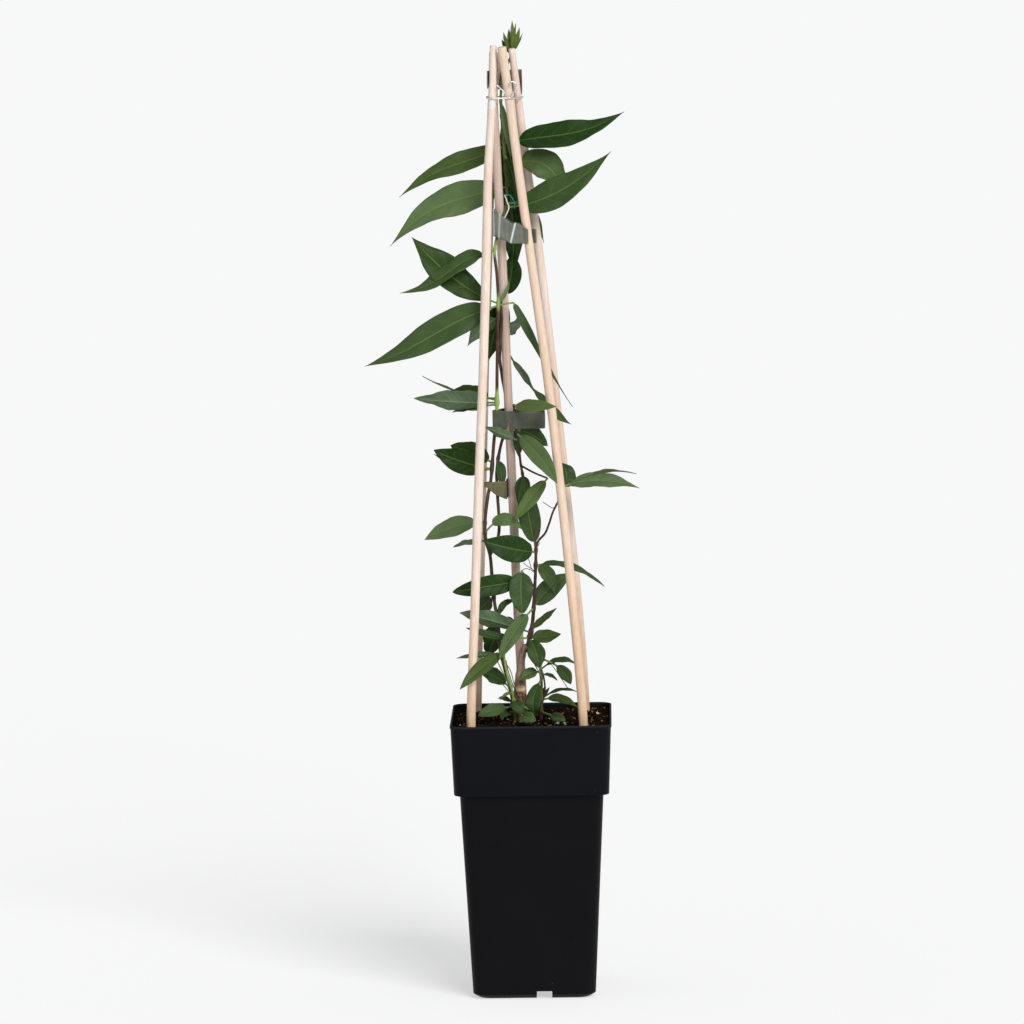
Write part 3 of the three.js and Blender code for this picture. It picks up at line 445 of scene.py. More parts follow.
def rounded_square(half, radius, z, corner_steps=12, side_steps=10):
    """A ring of points round a square with that half width: quarter circles at the corners, joined by evenly
    stepped straight sides. half and z may be arrays, one ring each."""
    half, z = np.broadcast_arrays(np.asarray(half, float), np.asarray(z, float))
    corner = np.arange(4)[:, None]
    k = np.arange(corner_steps + 1)[None, :]
    angle = ((corner + k / corner_steps) * np.pi / 2).ravel()
    middle = ((corner + 0.5) * np.pi / 2 + 0 * k).ravel()
    inner = (half - radius)[..., None] * math.sqrt(2)
    x = inner * np.cos(middle) + radius * np.cos(angle)
    y = inner * np.sin(middle) + radius * np.sin(angle)
    ends = np.stack([x, y], -1).reshape(*half.shape, 4, corner_steps + 1, 2)
    w = (np.arange(1, side_steps) / side_steps)[:, None]
    following = np.roll(ends[..., 0, :], -1, axis=-2)[..., None, :]
    straight = ends[..., -1:, :] * (1 - w) + following * w
    ring = np.concatenate([ends, straight], axis=-2).reshape(*half.shape, -1, 2)
    return np.concatenate([ring, np.broadcast_to(z[..., None, None], ring.shape[:-1] + (1,))], -1)


def smooth_profile(corners, softness, steps=5):
    """A polyline of (half width, height) with each inner corner cut back by softness and rounded by the
    curve that leaves one cut and arrives at the other: (1-w)^2 a + 2w(1-w) corner + w^2 b."""
    corners = np.asarray(corners, float)
    out = [corners[:1]]
    w = np.linspace(0, 1, steps)[:, None]
    for before, corner, after in zip(corners, corners[1:], corners[2:]):
        a = corner + unit(before - corner) * min(softness, 0.45 * np.linalg.norm(before - corner))
        b = corner + unit(after - corner) * min(softness, 0.45 * np.linalg.norm(after - corner))
        out.append((1 - w) ** 2 * a + 2 * w * (1 - w) * corner + w ** 2 * b)
    out.append(corners[-1:])
    return np.concatenate(out)


def rings_to_shell(rings):
    """Faces of a stack of rings, with the first and the last closed by a fan to a middle point."""
    count, around, _ = rings.shape
    points = rings.reshape(-1, 3)
    hub = len(points)
    points = np.vstack([points, rings[0].mean(0), rings[-1].mean(0)])
    k = np.arange(around)
    last = (count - 1) * around
    fans = np.vstack([
        np.stack([np.full(around, hub), (k + 1) % around, k], -1),
        np.stack([np.full(around, hub + 1), last + k, last + (k + 1) % around], -1),
    ])
    return points, [wrap_faces(count, around), fans]


def box_mesh(name, low, high, turn):
    """A box between two corners, turned by a quarter turn or more about the pot's middle."""
    corners = np.array([[x, y, z] for x in (low[0], high[0]) for y in (low[1], high[1]) for z in (low[2], high[2])])
    quads = np.array([[0, 1, 3, 2], [4, 6, 7, 5], [0, 4, 5, 1], [2, 3, 7, 6], [0, 2, 6, 4], [1, 5, 7, 3]])
    c, s = round(math.cos(math.radians(turn))), round(math.sin(math.radians(turn)))
    return tool_solid(name, corners @ np.array([[c, s, 0], [-s, c, 0], [0, 0, 1]]), [quads])


def tool_solid(name, points, faces):
    """A solid that only cuts: an object with no material, taken away again after the cut."""
    mesh = bpy.data.meshes.new(name)
    mesh.from_pydata((points * MM).tolist(), [], [face.tolist() for group in faces for face in group])
    made = bpy.data.objects.new(name, mesh)
    scene.collection.objects.link(made)
    return made


def cut(piece, tools):
    """Takes the tools out of the piece, leaves a plain mesh and removes the tools."""
    for tool in tools:
        step = piece.modifiers.new(tool.name, "BOOLEAN")
        step.operation, step.solver, step.object = "DIFFERENCE", "EXACT", tool
    bpy.context.view_layer.update()
    carved = bpy.data.meshes.new_from_object(piece.evaluated_get(bpy.context.evaluated_depsgraph_get()))
    piece.modifiers.clear()
    piece.data = carved
    for tool in tools:
        bpy.data.objects.remove(tool)


def channels(grow):
    """The four drain channels, each a box that runs in from one side under the floor."""
    half = CHANNEL_WIDTH / 2 + grow
    outer = -BODY_LOW_HALF - (6 if grow else 10)
    low, high = (CHANNEL_SHIFT - half, outer, -1), (CHANNEL_SHIFT + half, grow - CHANNEL_START, CHANNEL_HEIGHT + grow)
    return [box_mesh(f"channel_{grow}_{turn}", low, high, turn) for turn in (0, 90, 180, 270)]


def drains():
    """A round hole through the cover of each channel, turned about the pot's middle with it."""
    x, y, z = CHANNEL_SHIFT, -CHANNEL_START - 6, CHANNEL_HEIGHT + WALL
    spots = [(x, y), (-y, x), (-x, -y), (y, -x)]
    bars = [tube([[a, b, z - 3], [a, b, z + 3]], DRAIN_RADIUS, 24, 4) for a, b in spots]
    return [tool_solid(f"drain_{k}", *bar[:2]) for k, bar in enumerate(bars)]


def pot():
    """Profiles carried round the pot's rounded square: the outside with its collar and lip, less the cavity,
    which leaves a wall, a floor and a cover over each drain channel."""
    outside = smooth_profile([
        (BODY_LOW_HALF - 9, 0), (BODY_LOW_HALF - 4.6, 0), (BODY_LOW_HALF, 3.4), (BODY_TOP_HALF, COLLAR_BOTTOM),
        (COLLAR_HALF, COLLAR_BOTTOM - 0.1), (RIM_HALF - 0.5, RIM_TOP - 2.6), (RIM_HALF, RIM_TOP - 2.2),
        (RIM_HALF, RIM_TOP), (RIM_HALF - 6, RIM_TOP),
    ], 0.8)
    inside = smooth_profile([
        (BODY_LOW_HALF - 9, WALL), (BODY_LOW_HALF - 5, WALL), (BODY_LOW_HALF - WALL, 8),
        (BODY_TOP_HALF - WALL, COLLAR_BOTTOM + 1), (COLLAR_HALF - WALL, COLLAR_BOTTOM + 2.5),
        (RIM_HALF - WALL, RIM_TOP - 0.5), (RIM_HALF - WALL + 1, RIM_TOP + 1),
    ], 0.8)
    shell = rings_to_shell(rounded_square(outside[:, 0], CORNER_RADIUS, outside[:, 1]))
    made = put_mesh("pot_dressed", [(*shell, {}, 0)], [POT])
    cavity = tool_solid("cavity", *rings_to_shell(rounded_square(inside[:, 0], CORNER_RADIUS - WALL, inside[:, 1])))
    cut(cavity, channels(WALL))
    cut(made, [cavity, *channels(0), *drains()])
    made.data.polygons.foreach_set("use_smooth", np.full(len(made.data.polygons), True))
    made.data.set_sharp_from_angle(angle=math.radians(35))
    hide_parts("pot")


# Canes
CANE_RADIUS, CANE_TOP_RADIUS = 3.35, 2.6
CANE_FOOT = 108
# Each cane: its knots, then how much painted shade darkens it; the centre and back canes stand in the foliage's
# shadow.
canes = {
    "cane_front_left": ([
        [-44, -43.5, CANE_FOOT], [-44.3, -43.8, 204], [-40.3, -37, 292], [-36.3, -30, 381],
        [-31.8, -22.9, 469], [-28.1, -15.9, 558], [-26, -11.2, 617], [-22.5, -6.9, 669], [-21.1, -4, 708],
    ], 0.0),
    "cane_front_right": ([
        [40, -43.5, CANE_FOOT], [39.2, -43.9, 204], [32.8, -36.7, 291], [25.2, -29.9, 372],
        [16, -22.4, 461], [3.9, -14.4, 557], [-3.6, -9.4, 616], [-10, -5.1, 669], [-14.8, -8.5, 707],
    ], 0.05),
    "cane_back_right": ([
        [41.5, 44, CANE_FOOT], [40.3, 46.8, 204], [36, 39.9, 281], [28.6, 32.1, 365],
        [20, 23.6, 457], [10, 14.6, 555], [3.4, 9.7, 607], [-3.6, 3.9, 669], [-7.6, -2, 705.5],
    ], 0.1),
    "cane_centre": ([
        [-5.5, 5, CANE_FOOT], [-6.2, 5, 204], [-9.2, 4.4, 286], [-11.6, 3.8, 369],
        [-14.1, 3, 450], [-17.2, 2.3, 556], [-20.2, 1.8, 630], [-21.8, 1.5, 669], [-21, 4, 703],
    ], 0.45),
    "cane_back_left": ([
        [-42, 44, CANE_FOOT], [-41.6, 46.8, 204], [-37.2, 38.5, 320], [-31.6, 27.7, 468],
        [-27.9, 21.9, 547], [-25.4, 17.5, 607], [-22.5, 13, 669], [-16.5, 10.5, 701],
    ], 0.35),
}


def cane_radius(name, height):
    """Radius of a cane: two of them grow thinner over their last tenth of a metre."""
    slim = name in ("cane_front_left", "cane_back_right")
    return CANE_RADIUS + (CANE_TOP_RADIUS - CANE_RADIUS) * slim * np.clip((height - 600) / 100, 0, 1)


def cane(name, knots, shade):
    """A round stick whose radius swells by a hundredth or two along it. Its number sets how much painted shade
    darkens it.
    """
    start = sum(ord(letter) for letter in name)

    def radius(t):
        swell = 1 + 0.012 * np.sin(23 * t + start) + 0.008 * np.sin(61 * t + 2 * start)
        return cane_radius(name, curve_at(knots, t)[:, 2]) * swell

    numbers = {"shade": shade, "warm": float(name == "cane_front_right"), "film": float(name == "cane_front_left")}
    made = put_mesh(name + "_dressed", [tube(knots, radius, 24, 90, numbers)], [CANE])
    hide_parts(name)


# Stems: the points and radii of the frame's stems
stems = {
    "left": ([
        [-13, -8.6, 180], [-13.2, -8.6, 207], [-14.9, -8.4, 227], [-19.1, -8.6, 243], [-22.6, -9, 259],
        [-24.5, -9, 282], [-26.5, -9, 296], [-27.8, -9, 314], [-29, -9, 329], [-32.2, -9, 342],
        [-32.2, -9, 356], [-29.9, -8.5, 374], [-27.5, -8, 386], [-24.8, -7, 415], [-22.7, -6.5, 432],
        [-22.1, -6, 453], [-21.6, -5.7, 476], [-20.9, -5.2, 497], [-20.2, -5, 517], [-20.9, -4.2, 538],
        [-22.3, -3.9, 556], [-18.9, -3.4, 572], [-14.3, -0.5, 585], [-13.1, 3, 593], [-13, 6.3, 604],
        [-14.5, 6, 630], [-15.6, 4, 649], [-16.2, 1.5, 670], [-13.9, 1.5, 686], [-9, 3.5, 698], [-5.9, 4, 706],
    ], 1.45, 1),
    "strand": ([
        [-29, -9, 329], [-22.2, -8, 346], [-22.8, -6, 374], [-23.2, 0, 392], [-20, 8.4, 410], [-15, 9.5, 425],
        [-14.8, 9.5, 437], [-16.2, 8.4, 448], [-18.4, 6, 462], [-19.7, 2.4, 475], [-18.9, -1.6, 490],
        [-17.9, -3.2, 505], [-18.8, -4.4, 519],
    ], 1.2, 1.2),
    "strand_back": ([[-14.9, 9.5, 432], [-13.6, 9.3, 466], [-13.8, 9.2, 502], [-14.4, 9.2, 521]], 0.8, 0.7),
    "upper_twig": ([[-20.3, -5, 515.6], [-14, -8, 517], [-8.8, -9, 517.8]], 0.8, 0.7),
    "right_base": ([
        [-10.2, -3.2, 180], [-10.2, -3.2, 207], [-9.8, -3.2, 228], [-7.4, -3.2, 245], [-4.8, -3.2, 257],
        [-3, -3.6, 260.5],
    ], 3.7, 2.2),
    "right": ([
        [-4.4, -3.2, 256], [-1.3, -4, 263], [1.9, -5, 278], [3.3, -7, 295], [4.6, -8, 314], [5.3, -8, 334],
    ], 1.7, 1.1),
    "right_low": ([[-3.4, -4, 257.5], [-1, -6.5, 254.5], [3, -9, 250.5], [5.2, -10, 247.5]], 0.8, 0.7),
    "right_tip": ([
        [5.3, -8, 332], [6.9, -8, 339], [12.2, -8, 345], [15.2, -8, 352], [18.3, -8, 361], [22.2, -8, 369],
        [26, -8, 380],
    ], 0.9, 0.75),
    "right_middle": ([
        [5.3, -8, 332], [3.4, -9, 355], [-1.5, -9, 378], [-5, -8, 396], [-7, -8, 415], [-9.2, -7.2, 428],
        [-9.6, -7, 442],
    ], 1.1, 0.9),
    "right_twig": ([[4.2, -7, 304], [1, -10.5, 309], [-3, -12, 314], [-5.8, -12.5, 318]], 0.7, 0.7),
    "right_spur": ([[-5, -8, 396], [4.7, -12, 391], [14.8, -16, 387.2]], 0.8, 0.7),
    "front": ([
        [-12, -14, 180], [-12, -14, 206], [-13.3, -16, 224], [-16.8, -18.5, 238], [-18.8, -21, 249],
        [-19.6, -22.5, 259],
    ], 1.1, 0.8),
    "low": ([[7, -4, 180], [7.4, -4, 205], [8, -4.6, 219], [8, -5, 233], [7.4, -5, 243], [9, -6.5, 251]], 1.3, 0.8),
    "low_side": ([[8.2, -4.7, 216], [10.4, -6, 226], [9.8, -6.2, 236], [7.8, -5.2, 243]], 0.7, 0.7),
}

# Leaves: height on the stem; tip x, y, z; bow x, y, z; width; roll; twist; petiole length; then the place of
# the widest part along the blade, its hook, and how light its green is
upper_leaves = [
    [632, -93, 8, 596, 0, 3, 4, 17, 20, 15, 6, 0.33, -1.5, 0.3],
    [603, -100, 2, 560, 0, 4, 10, 25, 15, 15, 8, 0.36, -2, 0.62],
    [636, 75, -6, 658, 0, -9, -5, 21, 20, 15, 12, 0.38, 1.5, 0],
    [618, 32, 3, 591, 6, -5, 15, 23, 15, 20, 10, 0.4, 0, 0.4],
    [588, 65, -8, 629, 0, -4, -9, 23, 12, 12, 14, 0.34, 0, 0.2],
    [591, 14, 26, 559, 3, 5, 9, 9, 30, 0, 8, 0.4, 0, 0.35],
    [628, -6, 2, 595, 2, -2, 0, 13, 20, 0, 4, 0.4, 0, 0.05],
    [656, -8.5, 12, 536, 2, 7, 0, 21.5, 10, 0, 5, 0.55, 0, 0],
    [667, -9.3, -1.6, 623, 0.4, -1, 0, 5, 10, 0, 3, 0.35, 0, 0.85],
    [517, -84, 0, 567, 0, 0, -7, 25, 20, 10, 8, 0.55, 0, 0.1],
    [557, -93, -9, 526, 0, -2, -1, 17, 55, -10, 10, 0.3, 3, 0.3],
    [515, -120, -12, 472, 0, -2, 0, 23, 15, 8, 9, 0.33, 2, 0.25],
    [506, -44, 10, 484, 0, 0, 3, 14, 160, 0, 4, 0.4, 0, 0.1],
    [517, -12, -3, 535, 2, -2, 0, 3.2, 20, 0, 2, 0.3, 0, 0.95],
]
tip_leaves = [
    [703, -7, 2, 726, 0, 0, 0, 4, 20, 0, 1, 0.4, 0, 0.5],
    [704, -4.4, 3, 724, 0, 0, 0, 3, 35, 0, 1, 0.4, 0, 0.6],
    [702, -13.4, 2, 717.5, -1.2, 0, 0, 3.2, 30, 0, 1, 0.45, 0, 0.25],
    [701, -14.8, 5, 712, -0.8, 0, 0, 3.4, 10, 0, 1, 0.45, 0, 0.2],
    [703, -1.6, 1, 721, 0.6, 0, 0, 3.6, 10, 0, 1, 0.4, 0, 0.5],
    [703, 0.4, 1, 716.5, 0.5, 0, -1, 2.6, 50, 0, 1, 0.4, 0, 0.6],
    [704, -9.4, 5, 720, -1, 0, 0, 3.6, 0, 0, 1, 0.4, 0, 0.35],
    [704, -5.4, -0.5, 719, 0, 0, 0, 4.5, 0, 0, 1, 0.4, 0, 0.4],
]
left_leaves = [
    [447, -78, 12, 462, 0, 0, -4, 9, 100, 0, 8, 0.4, 0, 0.5],
    [443, -84, -4, 447, 0, 0, -1, 20, 145, 0, 8, 0.33, 0, 0.5],
    [444, -58, 14, 450, 0, 0, 1, 15, 35, 0, 8, 0.4, 0, 0.15],
    [442, -56, 8, 435, 0, 0, 1, 8, 60, 0, 8, 0.4, 0, 0.15],
    [393, -70, -2, 408, 0, 0, -2, 19, 15, 0, 6, 0.4, 0, 0],
    [398, -58, 18, 409, 0, 0, 1, 16, 20, 0, 4, 0.4, 0, 0.08],
    [393, -70, 6, 404, 0, 0, -5, 8, 75, 0, 6, 0.4, 0, 0.1],
    [354, -78, 2, 340, 0, 0, 3, 15, 25, 0, 8, 0.4, 0, 0.7],
    [340, -57, 12, 333, 0, 0, 1, 8, 130, 0, 4, 0.4, 0, 0.3],
    [346, -5, -14, 349, 0, -3, 9, 10, 20, 0, 6, 0.4, 0, 0.6],
    [298, -41, 2, 284, 0, 0, 0, 13, 20, 0, 3, 0.4, 0, 0.15],
    [280, -11, -4, 294, -2, -4, 5, 5.5, 30, 0, 3, 0.4, 0, 0.3],
    [276, -11.5, -4, 279, 0, 0, 2, 6, 30, 0, 2, 0.4, 0, 0],
    [277, -31, 0, 259, -1, 0, 0, 13, 10, 0, 2, 0.5, 0, 0],
    [271, -32, -4, 253, -1, 0, 0, 12, 10, 0, 2, 0.4, 0, 0.05],
    [265, -36, 8, 262, 0, 0, 0, 4, 20, 0, 2, 0.4, 0, 0.2],
    [254, -55, -20, 253.5, 0, 0, 1, 6, 140, 0, 4, 0.4, 0, 0.3],
    [229, -37, -14, 241, 0, 0, 3, 12.5, 30, 0, 4, 0.5, 0, 0.1],
    [215, -39.5, -24, 210.5, 0, -4, 2, 10.5, 30, 0, 6, 0.48, 0, 0.35],
    [217, -24.5, -13, 222, 0, 0, 1.5, 4, 30, 0, 2, 0.4, 0, 0.2],
]
strand_leaves = [
    [400, -20, -4, 380, 1, -2, 0, 8, 20, 0, 2, 0.4, 0, 0.15],
]
strand_back_leaves = [
    [520, -9.5, 10.5, 554, 1.5, 0, 0, 16, 5, 0, 3, 0.45, 0, 0],
    [518, -28, 12, 473, -2, 2, 0, 20, 5, 0, 3, 0.4, 0, 0.03],
    [500, -5, 40, 495, 0, 0, 0, 15, 0, 0, 4, 0.4, 0, 0.15],
    [479, 33, -6, 426, 0, -2, -7, 13, 155, -160, 6, 0.4, 0, 0.2],
]
upper_twig_leaves = [
    [517.8, 34, -4, 439, -1.5, 0, -1, 7.5, 30, 50, 1, 0.25, 0, 0.3],
]
right_leaves = [
    [331, -34, -22, 342, 0, -3, -1, 20, 8, 0, 3, 0.4, 0, 0],
    [334, -3.5, -10, 388.5, -1, -1, 0, 16.5, 10, 0, 5, 0.4, 0, 0.18],
    [321, 56, -4, 304, 0, 0, 7, 9, 65, 0, 5, 0.4, 0, 0.25],
    [322, 19, -14, 301, 2, -2, 3, 11, 20, 0, 3, 0.4, 0, 0.3],
    [289, 32, -12, 315, -2, 0, 2, 15, 10, 0, 3, 0.4, 0, 0.35],
    [289, -23.3, -34, 253.4, -1.5, -4, 2, 11.8, 5, 0, 8, 0.4, 0, 0.45],
    [272, 20, 6, 287, 0, 0, 0, 7, 50, 0, 2, 0.4, 0, 0.3],
    [267, 23, -6, 269, 0, 0, -1, 11, 30, 0, 2, 0.4, 0, 0.3],
    [266, 6, -14, 244.6, 1.5, -2, 1, 13.5, 10, 0, 2, 0.5, 0, 0.15],
    [270, -52, -26, 288.5, 0, -7, 2, 15, 150, 0, 14, 0.4, 0, 0.4],
    [266, -47.5, -24, 277, 0, -4, -2, 6.5, 35, 0, 14, 0.45, 0, 0.12],
]
right_middle_leaves = [
    [441, 22, -40, 443, 0, -4, 0, 11, 35, 0, 2, 0.4, 0, 0.65],
    [415, -31, -14, 426, 0, -4, 0, 9, 150, 0, 4, 0.4, 0, 0.5],
    [420, 22, -42, 386, 2, -3, 2, 14, 10, 0, 4, 0.4, 0, 0.6],
    [423, 15, 6, 409, 0, 0, 2, 14, 15, 0, 4, 0.4, 0, 0.15],
    [425, -7, 0, 402, 1, 0, 0, 8, 10, 0, 2, 0.4, 0, 0.15],
    [390, -8, -3, 367, 2, 0, 0, 12, 10, 0, 2, 0.4, 0, 0.25],
]
right_tip_leaves = [
    [380, 83, -8, 378, 0, 0, 5, 14, 45, 0, 5, 0.4, 0, 0.6],
    [379, 81, 8, 387, 0, 0, 6, 9, 82, 0, 6, 0.4, 0, 0.35],
    [379, 24, 6, 397, 4, 0, 0, 14, 20, 0, 2, 0.4, 0, 0.15],
]
right_twig_leaves = [
    [311, -57, -22, 303.5, 0, 0, 0, 15.8, 12, 0, 10, 0.36, 0, 0],
    [317.5, -5, -19, 286.5, -1, -2, 0, 18, 5, 0, 1, 0.4, 0, 0.22],
]
right_spur_leaves = [
    [387, -10.5, -20, 356.5, 0, -2, 1, 11.5, 20, 0, 3, 0.42, 0, 0.6],
]
front_leaves = [
    [258, -52, -54, 235, 0, -5, 3, 10.8, 20, 0, 3, 0.45, 0, 0.3],
    [221, -4, -26, 212.5, -1, -6, 1, 10, 30, 0, 2, 0.4, 0, 0.2],
    [212, 4, -41, 209, 0, -8, 1, 9.4, 30, 0, 12, 0.4, 0, 0.4],
    [212, -21, -35, 209, -2, -2, 1, 7, 60, 0, 5, 0.45, 0, 0.1],
    [220, -1, -27, 215, 0, -4, 1, 2.4, 30, 0, 2, 0.4, 0, 0.8],
    [226, -23, -23, 222, 0, 0, 2, 2.6, 30, 0, 1, 0.4, 0, 0.6],
]
low_leaves = [
    [242, 34, -12, 247, 0, 0, 5, 7, 62, 0, 4, 0.5, 0, 0.2],
    [250, 30, -14, 232, 2, 0, 3, 9.5, 20, 0, 12, 0.5, 0, 0.2],
    [238, 20, -7, 234, 0, 0, 2, 4.5, 60, 0, 3, 0.4, 0, 0.2],
    [240, -8.5, -12.5, 234.8, 0, 0, 2.5, 9, 30, 0, 3, 0.45, 0, 0.4],
    [235, 4, -22, 209.5, -4, -10, 0, 11.5, 10, 0, 3, 0.5, 0, 0.12],
    [220, 35, -6, 225, 0, 0, 4, 5, 70, 0, 4, 0.4, 0, 0.2],
    [219, 35, -12, 214, 0, 0, 4, 7.5, 40, 0, 5, 0.4, 0, 0.25],
    [210, 26, -42, 209, 1, -9, 1, 7.5, 35, 0, 15, 0.4, 0, 0.3],
    [220, 14, -7, 229, 0, 0, 0, 3, 20, 0, 1, 0.4, 0, 0.2],
    [221, 11, -4, 230, 0, 0, 0, 3, 20, 0, 1, 0.4, 0, 0.2],
]
FOLD, FLATTENING, WAVE = 0.3, 0.12, 0.05
PETIOLE_RADIUS = 0.75
BLADE = 0.45


def at_heights(knots, heights):
    """The point of the stem nearest to each height."""
    line = curve_at(knots, np.linspace(0, 1, 401))
    return line[np.abs(line[None, :, 2] - np.asarray(heights)[:, None]).argmin(1)]


def leaves(stem, rows, point, young=0.0):
    """Blades on bowed midribs. Midrib: base + chord t + bow 4t(1-t), raised by hook sin(2 pi t). Half width:
    W/2 sin(pi b^a)^(0.62 + point b), a set so that the blade is widest where the row says. Each half rises
    by 0.3|s| - 0.12 s^2, the margin waves by 0.05 W s^2 sin(15b + 2s), and the blade swells between its
    side veins."""
    row = np.array(rows, float)
    base = at_heights(stems[stem][0], row[:, 0])
    tip, bow = row[:, 1:4], row[:, 4:7]
    width, roll, twist, petiole, widest, hook, light = (row[:, k, None] for k in range(7, 14))
    order = np.arange(len(row), dtype=float)[:, None]
    chord = tip - base
    share = petiole / np.linalg.norm(chord, axis=1, keepdims=True)
    big = width.max() >= 12
    u = np.linspace(0, 1, 42 if big else 26)
    blade = 0.6 * u + 0.4 * (0.5 - 0.5 * np.cos(np.pi * u))
    stalk_part = np.linspace(0, 1, 6)[:-1]
    b = np.concatenate([stalk_part - 1, blade])[None, :]
    in_blade = (b >= 0)
    b_in = np.clip(b, 0, 1)
    t = np.where(in_blade, share + (1 - share) * b_in, share * (b + 1))
    stalk = np.minimum(PETIOLE_RADIUS, 0.12 * width + 0.3)
    power = np.log(0.5) / np.log(widest)
    outline = np.sin(np.pi * b_in ** power).clip(0) ** (0.62 + point * b_in)
    half = np.maximum(np.maximum(0.5 * width * outline, 0.12), np.where(in_blade, stalk * (1 - 5 * b_in), stalk))
    settle = np.clip(b_in / 0.06, 0, 1)
    thick = np.where(in_blade, BLADE + (1.7 * stalk - BLADE) * np.exp(-b_in / 0.03), 1.7 * stalk)

    tt = t[..., None]
    centre = base[:, None] + chord[:, None] * tt + bow[:, None] * 4 * tt * (1 - tt)
    centre[..., 2] += hook * np.sin(2 * np.pi * t)
    along = chord[:, None] + bow[:, None] * (4 - 8 * tt)
    along[..., 2] += 2 * np.pi * hook * np.cos(2 * np.pi * t)
    along = unit(along)
    front = np.array([0.0, -1.0, 0.0]) + 0 * along
    front = unit(front - (front * along).sum(-1, keepdims=True) * along)
    heading = np.where(chord[:, 0] < 0, 1.0, -1.0)[:, None, None]
    upward = np.cross(along, front) * heading
    angle = np.radians(roll + twist * t)[..., None]
    normal = front * np.cos(angle) + upward * np.sin(angle)
    sideways = np.cross(along, normal)

    v = np.linspace(-1, 1, 21 if big else 13)
    s = np.sign(v) * np.abs(v) ** 1.25
    a = np.abs(s)
    shape = (..., None)
    half_, thick_, b_, settle_ = half[shape], thick[shape], b_in[..., None], settle[..., None]
    width_, order_ = width[..., None], order[..., None]
    pairs = np.clip(np.round(width * 0.28 + 2), 3, 7)[..., None]
    vein = (b_ ** 0.85 - 0.16 * a ** 1.4) * pairs + 0.17 * np.sign(s)
    lift = half_ * (FOLD * a - FLATTENING * s ** 2) * settle_
    wave = WAVE * width_ * s ** 2 * np.sin(15 * b_ + 2 * s + order_) * np.minimum(1, 3 * half_ / width_)
    frill = 0.012 * width_ * a ** 3 * np.sin(43 * b_ + 5 * s + 2.3 * order_) * np.minimum(1, 3 * half_ / width_)
    swell = 0.08 * width_ / 20 * np.cos(2 * np.pi * vein) * 4 * a * (1 - a) * settle_
    rib = np.exp(-((s * half_) / 0.55) ** 2)
    thin = settle_ * (1 - 0.5 * a ** 4) + (1 - settle_) * (np.sqrt(np.clip(1 - s ** 2, 0, 1)) + 0.03)
    rise = lift + (wave + frill) * settle_ + swell
    spread = centre[:, :, None] + sideways[:, :, None] * (half_ * s)[..., None]
    up_side = rise + thick_ * thin / 2 - 0.22 * rib * settle_ * (1 - 0.7 * b_)
    down_side = rise - thick_ * thin / 2 - 0.45 * rib * settle_ * (1 - 0.8 * b_)
    top = spread + normal[:, :, None] * up_side[..., None]
    below = spread + normal[:, :, None] * down_side[..., None]
    rings = np.concatenate([top, below[:, :, ::-1]], axis=2)
    count, stations, around, _ = rings.shape
    faces = np.concatenate([wrap_faces(stations, around), zip_caps(stations, around)])
    faces = (faces + (np.arange(count) * stations * around)[:, None, None]).reshape(-1, 4)
    grid = np.broadcast_to
    full_shape = (count, stations, around)
    numbers = {
        "side": grid(np.concatenate([s, s[::-1]]), full_shape),
        "length": grid(np.where(in_blade, b_in, b)[..., None], full_shape),
        "under": grid(np.concatenate([np.zeros(len(s)), np.ones(len(s))]), full_shape),
        "light": grid(light[..., None], full_shape),
        "young": np.full(full_shape, young),
        "hue": grid((0.5 + 0.5 * np.sin(2.7 * order + width))[..., None], full_shape),
        "pairs": grid(pairs, full_shape),
    }
    return rings.reshape(-1, 3), [faces], {key: value.ravel() for key, value in numbers.items()}, 0


def stem_bar(stem, nodes, age, bark=0.0):
    """A stem that tapers from its first radius to its last and swells by a third at each leaf's height. age
    pairs heights with numbers, 0 green to 1 brown; bark is 1 on old wood."""
    knots, start, end = stems[stem]
    rings = 14 * len(knots)
    line = curve_at(knots, np.linspace(0, 1, rings))
    spots = [np.abs(line[:, 2] - height).argmin() / (rings - 1) for height in nodes]
    length = np.linalg.norm(np.diff(line, axis=0), axis=1).sum()

    def radius(t):
        swell = sum((0.38 * np.exp(-((t - spot) * length / 1.5) ** 2) for spot in spots), np.zeros_like(t))
        return (start + (end - start) * t) * (1 + swell + 0.04 * np.sin(90 * t))

    numbers = {"age": lambda t: np.interp(curve_at(knots, t)[:, 2], *zip(*age)), "bark": bark}
    return tube(knots, radius, 10, rings, numbers, 1)


def twig(points, radius=0.3, age=1.0):
    """A thin bare side stem, dry and brown at age 1."""
    return tube(points, radius, 6, 4 * len(points), {"age": age}, 1)


def shoot(node, bars, groups):
    """One leafy shoot: its stems and, on each, its leaves."""
    made = put_mesh(node + "_dressed", bars + [leaves(*group) for group in groups], [LEAF, STEM])
    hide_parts(node)


def heights(*groups):
    return sorted({row[0] for group in groups for row in group})


LONG_POINTED, SHORT_POINTED, YOUNG, BLUNT = 0.6, 0.25, 0.3, 0.0
BROWN = [(0, 1.0), (800, 1.0)]
LEFT_AGE = [(434, 1.0), (437, 0.05), (451, 0.05), (455, 1.0), (510, 1.0), (515, 0.1), (520, 0.1), (526, 1.0),
            (550, 1.0), (554, 0.1), (560, 0.1), (566, 0.9), (630, 0.6), (680, 0.2), (706, 0.0)]


